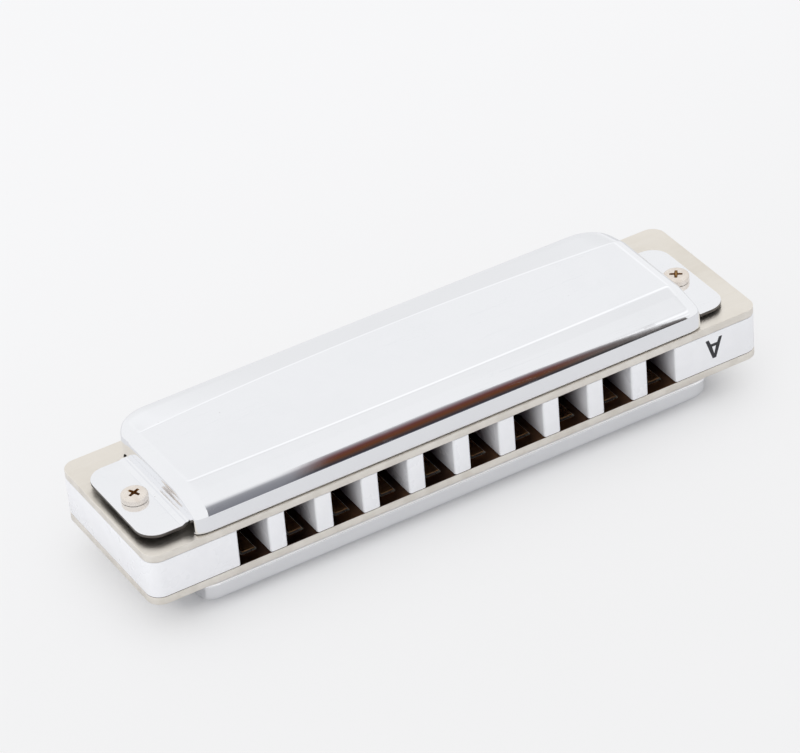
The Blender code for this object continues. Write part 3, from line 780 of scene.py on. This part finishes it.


# The outer face's lowest rows move in along a quarter circle. The inner face and the sheet's cut edges take
# the dull plating that is painted dark, a painted shade. A float attribute is 1 on the foot's round, which is
# painted near-white and made nearly non-metallic there: a painted highlight along the lip's foot.
def roundLipFoot(c, mesh, sheetPoints):
    shells = meshPoints(mesh).reshape(2, -1, 3)
    outer = int(np.abs(shells[1] - sheetPoints).max() < np.abs(shells[0] - sheetPoints).max())
    y, z = shells[outer][:, 1] / mm, shells[outer][:, 2] / mm
    r = c.footRound
    rise = np.clip(z - c.lipFoot, 0, r)
    onLip = y < c.tabFrontY
    inward = r - np.sqrt(np.clip(r * r - (r - rise) ** 2, 0, None))
    shells[outer][:, 1] += np.where(onLip, inward, 0) * mm
    setPoints(mesh, shells)
    worn = np.zeros(shells.shape[:2])
    worn[outer] = (rise < c.rubbedRise) & onLip
    setValues(mesh, "rubbed", worn.ravel())
    corners = np.empty(len(mesh.loops), np.int32)
    mesh.loops.foreach_get("vertex_index", corners)
    starts = np.empty(len(mesh.polygons), np.int32)
    mesh.polygons.foreach_get("loop_start", starts)
    inside = (corners // len(shells[0]) != outer).astype(np.int32)
    mesh.polygons.foreach_set("material_index", np.maximum.reduceat(inside, starts))


# Upright round cutters in one mesh, each a closed stack of rings.
def cylinderCutter(name, centres, radius, low, high):
    sides = 48
    ring = turnedPoints([(0, high), (radius, high), (radius, low), (0, low)], sides)
    quads = gridFaces(4, sides, closeColumns=True)
    points = np.concatenate([ring + (x, y, 0) for x, y in centres])
    faces = np.concatenate([quads + number * len(ring) for number in range(len(centres))])
    return meshFrom(name, points, faces, chrome, smooth=False)


# The sheet is thickened away from its outer face, and the lower cover is turned over about Y.
def makeCover(name, node, slot, upsideDown):
    c = SimpleNamespace(**coverShape, lipFoot=coverShape["lipFeet"][node])
    low, high = boxOf(node)
    sheet = coverSheet(name, c)
    if sum(p.normal.z * p.area for p in sheet.polygons) < 0:
        sheet.flip_normals()
    mesh = modified(sheet, "SOLIDIFY", thickness=c.sheet * mm, offset=-1.0, use_even_offset=True,
                    use_quality_normals=True)
    mesh.materials.append(coverInsideDullShaded)
    roundLipFoot(c, mesh, meshPoints(sheet))
    bolts = [(side * c.boltReach, c.boltY) for side in (-1, 1)]
    mesh = cutOut(mesh, cylinderCutter(name + "Bolts", bolts, c.boltHole, -3, 4))
    points = meshPoints(mesh)
    if upsideDown:
        points = points * (-1, 1, -1)
    shiftX = low[0] + c.tabReach[1 if upsideDown else -1]
    shiftZ = high[2] + c.nodeFoot if upsideDown else low[2] - c.nodeFoot
    setPoints(mesh, points + np.array([shiftX, low[1] - c.lipY, shiftZ]) * mm)
    shadeSmooth(mesh, coverAngle)
    return addPiece(name, mesh, "root", slot, node)


makeCover("coverUpper", "upper_cover", "cover_chrome", False)
makeCover("coverLower", "lower_cover", "cover_chrome", True)
print("covers made")


# Comb: the outline with ten channels cut in from the mouth side

combShape = {
    "holeWidth": 4.75, "cornerRadius": 2.2, "frontRound": 0.4, "backRound": 0.9, "backMargin": 0.5,
    "edgeRound": 0.12, "screwHole": 0.8, "boltHole": 1.3,
}


# Counter-clockwise from the front left corner; each channel has rounded mouth edges and back corners.
def combOutline(c, low, high):
    r, f, b = c.cornerRadius, c.frontRound, c.backRound
    front = low[1] + f
    parts = [arcPoints(low[0] + r, low[1] + r, r, 180, 270, 8)]
    for number in reversed(holes):
        reedLow, reedHigh = boxOf(f"blow_reed_{number:02d}")
        centre, back = (reedLow[0] + reedHigh[0]) / 2, reedHigh[1] + c.backMargin
        left, right = centre - c.holeWidth / 2, centre + c.holeWidth / 2
        parts += [arcPoints(left - f, front, f, -90, 0, 5), arcPoints(left + b, back - b, b, 180, 90, 5),
                  arcPoints(right - b, back - b, b, 90, 0, 5), arcPoints(right + f, front, f, 180, 270, 5)]
    parts += [
        arcPoints(high[0] - r, low[1] + r, r, -90, 0, 8), arcPoints(high[0] - r, high[1] - r, r, 0, 90, 8),
        arcPoints(low[0] + r, high[1] - r, r, 90, 180, 8),
    ]
    return np.concatenate(parts)


# The attribute depth is the way in from the mouth in millimetres, on the channels' walls alone.
def makeComb():
    c = SimpleNamespace(**combShape)
    low, high = boxOf("comb")
    loops = [combOutline(c, low, high)] + screwHoles(c.screwHole, c.boltHole)
    mesh = slabMesh("combBody", loops, low[2], high[2], combPlastic, c.edgeRound, 0.15)
    x, y, _ = (meshPoints(mesh) / mm).T
    centres = np.array([middleOf(f"blow_reed_{number:02d}")[0] for number in holes])
    aside = np.abs(x[:, None] - centres).min(axis=1)
    back = boxOf("blow_reed_01")[1][1] + c.backMargin + 0.1
    within = (aside < c.holeWidth / 2 + c.edgeRound) & (y < back)
    setValues(mesh, "depth", np.where(within, y - low[1], 0))
    return addPiece("combBody", mesh, "root", "white_plastic", "comb")


makeComb()
print("comb made")


# Reed plates: a rolled sheet with a window for each reed and a hole for each rivet and screw

reedShape = {"width": 2.1, "tipShare": 0.94, "padLength": 2.6, "neck": 0.4, "holeRadius": 0.66,
             "thinnest": 0.6, "thinsOver": 0.55, "edgeRound": 0.03}
plateShape = {"cornerRadius": 2.2, "edgeRound": 0.08, "slotSide": 0.15, "slotTip": 0.2, "slotCorner": 0.2,
              "rivetHole": 0.58, "boltHole": 1.3, "screwHole": 0.8}


# A reed's middle x, and the y of its root line and of its tip, which points towards the back or the mouth.
def reedLine(node, towards):
    low, high = boxOf(node)
    rootY = low[1] + reedShape["padLength"] if towards > 0 else high[1] - reedShape["padLength"]
    return (low[0] + high[0]) / 2, rootY, high[1] if towards > 0 else low[1]


def makePlate(name, node, kind, towards):
    c = SimpleNamespace(**plateShape)
    low, high = boxOf(node)
    loops = [roundedBox(low[0], low[1], high[0], high[1], c.cornerRadius, 10)]
    side = reedShape["width"] / 2 + c.slotSide
    for number in holes:
        x, rootY, tipY = reedLine(f"{kind}_reed_{number:02d}", towards)
        front, back = sorted([rootY, tipY + towards * c.slotTip])
        loops.append(roundedBox(x - side, front, x + side, back, c.slotCorner, 3)[::-1])
        loops.append(roundHole(*middleOf(f"{kind}_rivet_{number:02d}")[:2], c.rivetHole, 20))
    loops += screwHoles(c.screwHole, c.boltHole)
    innerFace = low[2] if towards > 0 else high[2]
    mesh = slabMesh(name, loops, low[2], high[2], plateMetal, c.edgeRound, 0.04, innerFace)
    return addPiece(name, mesh, "root", "reed_plate", node)


makePlate("plateUpper", "upper_reed_plate", "draw", 1)
makePlate("plateLower", "lower_reed_plate", "blow", -1)
print("reed plates made")


# Reeds and their rivets

rivetShape = {"head": 0.3, "domeShare": 0.75, "shank": 0.5, "tailRound": 0.08}


# A pad behind the root line, a short neck and a tongue that narrows a little to its tip.
def reedOutline(c, towards, rootY, tipY, padHalf, x):
    root = c.width / 2
    tip = root * c.tipShare
    length = abs(tipY - rootY)
    along = np.linspace(0, length, 15)
    right = np.stack([root + (tip - root) * along / length, along], axis=1)
    pad = np.array([[padHalf, -c.padLength], [padHalf, -c.neck]])
    half = np.concatenate([pad, right])
    loop = np.concatenate([half, (half * (-1, 1))[::-1]])
    return loop * towards + (x, rootY)


# The tongue thins from its root along a sine's square, keeping its lower face, then stays thin to its tip.
def makeReed(kind, number, towards):
    c = SimpleNamespace(**reedShape)
    node = f"{kind}_reed_{number:02d}"
    low, high = boxOf(node)
    x, rootY, tipY = reedLine(node, towards)
    loops = [
        reedOutline(c, towards, rootY, tipY, (high[0] - low[0]) / 2, x),
        roundHole(x, rootY - towards * c.padLength / 2, c.holeRadius, 20),
    ]
    mesh = slabMesh(f"{kind}Reed{number:02d}", loops, low[2], high[2], reedBrass, c.edgeRound, 0.05)
    points = meshPoints(mesh) / mm
    along = np.clip((points[:, 1] - rootY) * towards / abs(tipY - rootY), 0, 1)
    thin = 1 - (1 - c.thinnest) * np.sin(np.clip(along / c.thinsOver, 0, 1) * np.pi / 2) ** 2
    points[:, 2] = low[2] + (points[:, 2] - low[2]) * thin
    setPoints(mesh, points * mm)
    return addPiece(mesh.name, mesh, node, "reed_brass", node)


# A domed head over the pad, a shank through the plate and a slightly hollow tail.
def makeRivet(kind, number):
    c = SimpleNamespace(**rivetShape)
    node = f"{kind}_rivet_{number:02d}"
    low, high = boxOf(node)
    radius, top, tail = (high[0] - low[0]) / 2, high[2], low[2]
    head, shank, bevel = c.head, c.shank, c.tailRound
    rise = np.linspace(0, np.pi / 2, 9)
    dome = np.stack([radius * np.sin(rise), top - head * c.domeShare * (1 - np.cos(rise))], axis=1)
    lower = [(radius, top - head), (shank, top - head), (shank, tail + bevel), (shank - bevel, tail),
             (shank * 0.5, tail + 0.05), (0, tail + bevel)]
    mesh = turnedMesh(f"{kind}Rivet{number:02d}", np.concatenate([dome, lower]), 32, rivetCopper)
    setPoints(mesh, meshPoints(mesh) + np.array([*middleOf(node)[:2], 0]) * mm)
    return addPiece(mesh.name, mesh, "root", "rivet_copper", node)


for kind, towards in (("draw", 1), ("blow", -1)):
    for number in holes:
        makeReed(kind, number, towards)
        makeRivet(kind, number)
print("reeds and rivets made")


# Screws and nuts

screwShape = {
    "cover": {"head": 1.05, "shoulder": 0.34, "shank": 1.0, "thread": 0.4, "bit": 0.98, "bitWidth": 0.21,
              "bitDepth": 0.7},
    "plate": {"head": 0.6, "shoulder": 0.3, "shank": 0.7, "thread": 0.3, "bit": 0.72, "bitWidth": 0.17,
              "bitDepth": 0.4},
}
nutShape = {"bore": 1.06, "boreBevel": 0.12, "chamfer": 0.89, "sides": 96}


# A cross outline that narrows as it goes down, as the tip of a driver does.
def crossBit(name, c):
    bit, width, top, depth = c.bit, c.bitWidth, c.head, c.bitDepth
    quarter = np.array([(bit, -width), (bit, width), (width * 1.25, width * 1.25)])
    turns = np.radians([0, 90, 180, 270])
    spin = np.array([[[math.cos(a), -math.sin(a)], [math.sin(a), math.cos(a)]] for a in turns])
    outline = np.concatenate([quarter @ s.T for s in spin])
    levels = np.array([top + 0.3, top, top - depth * 0.75, top - depth])
    scales = np.array([1.06, 1.0, 0.62, 0.2])
    points = stackRings(outline[None] * scales[:, None, None], levels)
    count = len(outline)
    faces = gridFaces(len(levels), count, closeColumns=True).tolist()
    faces += [list(range(count)), list(range(len(points) - count, len(points)))]
    return meshFrom(name, points, faces, recessBrown, smooth=False)


# A cheese head: a nearly flat crown, a round shoulder, an upright side and a seat, then thread crests.
def screwProfile(c, radius, length):
    head, rounding, shank, pitch = c.head, c.shoulder, c.shank, c.thread
    inner, dome, bevel, crest = radius - rounding, 0.05, 0.05, 0.12
    across = np.linspace(0, 1, 5)
    turn = np.linspace(0, np.pi / 2, 8)[1:]
    crown = np.stack([inner * across, head - dome * across ** 2], axis=1)
    fall = rounding * (1 - np.cos(turn))
    shoulder = np.stack([inner + rounding * np.sin(turn), head - dome - fall], axis=1)
    side = [(radius, bevel), (radius - bevel, 0.0), (shank, 0.0)]
    z = np.arange(-0.4, -length + 0.35, -pitch)
    steps = np.repeat(z, 2) + np.tile([0, -pitch / 2], len(z))
    crests = np.stack([np.tile([shank, shank - crest], len(z)), steps], axis=1)
    tip = [(shank * 0.6, -length), (0, -length)]
    return np.concatenate([crown, shoulder, side, crests, tip])


def makeScrew(name, node, shape, outward, turn):
    c = SimpleNamespace(**screwShape[shape])
    low, high = boxOf(node)
    x, y, _ = (low + high) / 2
    profile = screwProfile(c, (high[0] - low[0]) / 2, high[2] - low[2] - c.head)
    mesh = cutOut(turnedMesh(name, profile, 56, screwNickel), crossBit(name + "Bit", c))
    points = meshPoints(mesh)
    a = math.radians(turn)
    points[:, :2] = points[:, :2] @ np.array([[math.cos(a), math.sin(a)], [-math.sin(a), math.cos(a)]])
    seat = high[2] - c.head if outward > 0 else low[2] + c.head
    if outward < 0:
        points = points * (1, -1, -1)
    setPoints(mesh, points + np.array([x, y, seat]) * mm)
    shadeSmooth(mesh, flatAngle)
    return addPiece(name, mesh, "root", "screw_nickel", node)


# Hexagon sides cut by a cone at both faces: the height falls with the radius past the chamfer circle.
def makeNut(name, node):
    c = SimpleNamespace(**nutShape)
    low, high = boxOf(node)
    height, corner = high[2] - low[2], (high[1] - low[1]) / 2
    bore, bevel, sides = c.bore, c.boreBevel, c.sides
    angle = np.radians(np.linspace(0, 360, sides, endpoint=False) + 30)
    flat = corner * math.cos(math.pi / 6)
    reach = np.minimum(flat / np.cos(angle % (math.pi / 3) - math.pi / 6), corner)
    r = bore + bevel + np.linspace(0, 1, 9)[:, None] * (reach - bore - bevel)
    fall = np.clip(r - corner * c.chamfer, 0, None) * math.tan(math.radians(30))
    top = np.concatenate([np.full((1, sides), bore), r])
    topZ = np.concatenate([np.full((1, sides), height / 2 - bevel), height / 2 - fall])
    radii = np.concatenate([top, top[::-1]])
    heights = np.concatenate([topZ, -topZ[::-1]])
    points = gridPoints(radii * np.cos(angle), radii * np.sin(angle), heights) + middleOf(node)
    faces = gridFaces(len(radii), sides, closeColumns=True, closeRows=True)
    mesh = meshFrom(name, points, faces, screwNickel)
    return addPiece(name, mesh, "root", "screw_nickel", node)


makeScrew("coverScrewLeft", "cover_screw_left", "cover", 1, 23.0)
makeScrew("coverScrewRight", "cover_screw_right", "cover", 1, 55.0)
makeNut("coverNutLeft", "cover_nut_left")
makeNut("coverNutRight", "cover_nut_right")
for number in (1, 2, 3):
    makeScrew(f"upperPlateScrew{number}", f"upper_plate_screw_{number}", "plate", 1, 20.0 * number)
for number in (1, 2, 3):
    makeScrew(f"lowerPlateScrew{number}", f"lower_plate_screw_{number}", "plate", -1, 20.0 * number)
print("fasteners made")


# Printed pitch mark on the comb's front face, near the first hole

markShape = {"x": 42.4, "z": 3.3, "height": 3.4, "width": 2.9, "stroke": 0.5, "thick": 0.02, "proud": 0.012}


# Half the clear width between the letter's legs: it falls evenly with the height.
def clearHalf(c, height):
    half = c.width / 2
    return half - c.stroke * 1.1 - half / c.height * height


# A plain key letter of straight strokes, printed upside down as the draw side is up.
def makePitchMark():
    c = SimpleNamespace(**markShape)
    low, _ = boxOf("comb")
    h, w, s = c.height, c.width / 2, c.stroke
    bar = h * 0.24
    under, over = clearHalf(c, bar), clearHalf(c, bar + s)
    outer = np.array([(-w, 0), (-w + s * 1.12, 0), (-under, bar), (under, bar), (w - s * 1.12, 0), (w, 0),
                      (s * 0.6, h), (-s * 0.6, h)])
    eye = np.array([(-over, bar + s), (0, h - s * 1.5), (over, bar + s)])
    mesh = slabMesh("pitchMark", [outer, eye], 0, c.thick, markInk, 0.004, 0.02)
    across, up, out = (meshPoints(mesh) / mm).T
    front = low[1] - c.proud + c.thick
    setPoints(mesh, np.stack([c.x - across, front - out, low[2] + c.z + h / 2 - up], axis=1) * mm)
    tidyMesh(mesh)
    return addPiece("pitchMark", mesh, "root", "white_plastic")


makePitchMark()
print("pitch mark made")


# Floor, lights and camera

def addStage(name, mesh):
    stage = addObject(name, mesh)
    return stage


floorLook = {
    "near": (0.877, 0.877, 0.882, 1), "far": (0.925, 0.925, 0.935, 1), "inMetal": (0.745, 0.745, 0.755, 1),
    "fill": 0.85, "fillFrom": 0.0015, "fillReach": 0.006, "flatInset": (0.006, 0.0055, 0), "reach": 3000,
}


# A pale sweep of paper: flat under the object and a little mottled, painted darker towards the front as
# painted light falloff, and darker still as the metal sees it, a painted shade in the reflections. Away from
# the covers' flat face, which lies on it, its own pale light fills the shadow in the camera's view:
# 1 - e^(-distance / reach).
def makeFloor():
    c = SimpleNamespace(**floorLook)
    material, shader, coords = newMaterial("floorPaper", Metallic=0.0, Roughness=0.85)
    grain = useGroup("grain", coords, Scale=500.0, Swell=1.0)["Tone"]
    # Darker towards the front: painted light falloff
    paintedFalloff = remap(partOf(coords, "Y"), -0.05, 0.12)
    tone = plus(times(grain, 0.15), times(paintedFalloff, 0.85))
    rays = coords.id_data.nodes.new("ShaderNodeLightPath").outputs
    # Glossy rays see a darker copy of the floor's colour: painted shade in the reflections
    color = blendColor(rays["Is Glossy Ray"], blendColor(tone, c.near, c.far), c.inMetal)
    low, high = (Vector(corner) * mm for corner in boxOf("lower_cover"))
    half = (high - low) / 2 - Vector(c.flatInset)
    centred = vectorCalc("ABSOLUTE", vectorCalc("SUBTRACT", coords, (low + high) / 2))
    apart = vectorCalc("MAXIMUM", vectorCalc("SUBTRACT", centred, half), (0, 0, 0))
    flat = vectorCalc("MULTIPLY", apart, (1, 1, 0))
    distance = addNode("VectorMath", {0: flat}, operation="LENGTH").outputs["Value"]
    distance = calc("MAXIMUM", minus(distance, c.fillFrom), 0.0)
    near = calc("EXPONENT", calc("DIVIDE", distance, -c.fillReach))
    share = times(times(minus(1.0, near), c.fill), rays["Is Camera Ray"])
    fillInputs(shader, {
        "Emission Color": color, "Emission Strength": share, "Specular IOR Level": 0.1,
        "Base Color": blendColor(share, color, (0, 0, 0, 1)),
    })
    reach = np.linspace(-c.reach, c.reach, 7)
    points = gridPoints(reach[:, None], reach, 0)
    return addStage("floor", rawMesh("floor", points, gridFaces(7, 7)[:, ::-1], material))


# The card's colours go from its lower edge to its upper one, on its left and on its right part. Its sizes
# are in millimetres and degrees; turnsBrown, turnsGrey and seenFrom are in metres, as its material needs.
cardShape = {
    "radius": 300.0, "left": 30.0, "right": 188.0, "pullIn": 71.6, "low": 0.6, "high": 94.0,
    "turnsBrown": (0.076, 0.088), "turnsGrey": (0.138, 0.165), "greyShare": 0.85,
    "seenFrom": (-0.0113, -0.0115),
    "leftTones": (
        (0.0, (0.21, 0.215, 0.24, 1)), (0.5, (0.265, 0.27, 0.295, 1)), (0.68, (0.34, 0.345, 0.37, 1)),
        (0.78, (0.57, 0.575, 0.60, 1)), (0.88, (0.78, 0.785, 0.80, 1)), (0.95, (0.885, 0.89, 0.90, 1)),
    ),
    "rightTones": (
        (0.03, (0.086, 0.09, 0.11, 1)), (0.12, (0.035, 0.028, 0.034, 1)), (0.26, (0.078, 0.045, 0.036, 1)),
        (0.42, (0.125, 0.042, 0.018, 1)), (0.64, (0.13, 0.046, 0.038, 1)), (0.76, (0.185, 0.11, 0.12, 1)),
        (0.92, (0.32, 0.28, 0.30, 1)), (1.0, (0.55, 0.55, 0.565, 1)),
    ),
}


# Its tones by the attribute share, browner from turnsBrown on and greyer from turnsGrey on. Only the covers'
# front lips and the rounds over them show it: a ray's start is the place it meets plus its length times the
# way back.
def makeCardLight():
    c = SimpleNamespace(**cardShape)
    material = bpy.data.materials.new("roomCard")
    material.use_nodes = True
    tree = material.node_tree
    tree.nodes.clear()
    coords = tree.nodes.new("ShaderNodeTexCoord").outputs["Object"]
    height = attribute(coords, "share")
    x = partOf(coords, "X")
    left = colorRamp(height, c.leftTones)
    right = colorRamp(height, c.rightTones)
    color = blendColor(remap(x, *c.turnsBrown), left, right)
    kept = remap(x, *c.turnsGrey, 1.0, 1.0 - c.greyShare)
    color = addNode("HueSaturation", {"Color": color, "Saturation": kept}).outputs["Color"]
    glow = addNode("Emission", {"Color": color, "Strength": 1.0}).outputs[0]
    clear = tree.nodes.new("ShaderNodeBsdfTransparent").outputs[0]
    met = tree.nodes.new("ShaderNodeNewGeometry").outputs
    length = tree.nodes.new("ShaderNodeLightPath").outputs["Ray Length"]
    way = addNode("VectorMath", {0: met["Incoming"], "Scale": length}, operation="SCALE").outputs[0]
    start = vectorCalc("ADD", met["Position"], way)
    shown = remap(partOf(start, "Y"), *c.seenFrom)
    both = addNode("MixShader", {0: shown, 1: clear, 2: glow}).outputs[0]
    addNode("OutputMaterial", {"Surface": both})
    return material


# The darker side of the room: part of a round tunnel along X, over the camera's side, seen in metal only.
# It goes from just over the floor up past the zenith, and its upper edge comes down towards the right by the
# square of the way past pullIn. The attribute share is 0 at its foot and 1 at its upper edge.
def makeCard():
    c = SimpleNamespace(**cardShape)
    share = np.linspace(0, 1, 41)[:, None]
    straight = c.right - c.pullIn
    x = np.concatenate([np.linspace(c.left, straight, 12), np.linspace(straight, c.right, 25)[1:]])
    past = np.clip(1 - (c.right - x) / c.pullIn, 0, 1)[None, :]
    top = c.high * (1 - past ** 2)
    turn = np.radians(c.low + share * np.clip(top - c.low, 0, None))
    y, z = -c.radius * np.cos(turn), c.radius * np.sin(turn)
    mesh = rawMesh("roomCard", gridPoints(x, y, z), gridFaces(*y.shape), makeCardLight())
    setValues(mesh, "share", np.broadcast_to(share, y.shape).ravel())
    card = addStage("roomCard", mesh)
    for use in ("camera", "diffuse", "shadow", "transmission", "volume_scatter"):
        setattr(card, "visible_" + use, False)
    return card


# A square area light aimed at the object.
def addSoftbox(name, azimuth, elevation, distance, size, power):
    a, e = math.radians(azimuth), math.radians(elevation)
    back = Vector((math.sin(a) * math.cos(e), -math.cos(a) * math.cos(e), math.sin(e)))
    lamp = bpy.data.lights.new(name, "AREA")
    lamp.shape = "SQUARE"
    lamp.size = size
    lamp.energy = power
    light = addObject(name, lamp)
    turned = back.to_track_quat("Z", "Y").to_matrix().to_4x4()
    light.matrix_world = Matrix.Translation(back * distance) @ turned
    light.visible_glossy = False
    return light


# The white tent's brightness by the height of the direction: seams between its panels show as brighter
# bands. They show round tentMiddle, a direction along X, and fade into plain cloth on both sides of it.
tentBands = ((0.0, 0.93), (0.317, 0.86), (0.454, 1.06), (0.53, 0.92), (0.60, 0.915), (0.731, 1.10),
             (0.85, 0.86), (0.89, 0.90), (0.916, 0.915), (1.0, 0.94))
tentMiddle = 0.385
tentFade = (0.11, 0.24)
tentPlain = (0.93, 0.935, 0.945, 1)


def makeWorld():
    world = bpy.data.worlds.new("studio")
    bpy.context.scene.world = world
    world.use_nodes = True
    tree = world.node_tree
    direction = tree.nodes.new("ShaderNodeTexCoord").outputs["Generated"]
    stops = [(place, (level * 0.995, level, level * 1.012, 1)) for place, level in tentBands]
    seams = colorRamp(partOf(direction, "Z"), stops, "EASE")
    aside = calc("ABSOLUTE", minus(partOf(direction, "X"), tentMiddle))
    color = blendColor(remap(aside, *tentFade), seams, tentPlain)
    fillInputs(tree.nodes["Background"], {"Color": color, "Strength": 1.0})


cameraShape = {
    "lens": 190.273, "sensor": 36.0, "clipStart": 0.01,
    "rows": ((0.855519, 0.347838, -0.383530, -0.232747), (-0.512682, 0.465485, -0.721444, -0.433679),
             (-0.072418, 0.813838, 0.576561, 0.362775), (0, 0, 0, 1)),
}


def makeCamera():
    c = SimpleNamespace(**cameraShape)
    lens = bpy.data.cameras.new("photoCamera")
    lens.lens = c.lens
    lens.sensor_width = c.sensor
    lens.clip_start = c.clipStart
    camera = addObject("photoCamera", lens)
    camera.matrix_world = Matrix(c.rows)
    bpy.context.scene.camera = camera


makeFloor()
makeCard()
makeWorld()
addSoftbox("topSoftbox", 160.0, 55.0, 0.9, 0.6, 0.3)
addSoftbox("leftSoftbox", -75.0, 30.0, 0.9, 0.6, 1.2)
makeCamera()
bpy.context.scene.view_settings.view_transform = "Standard"
print("stage, lights and camera made")
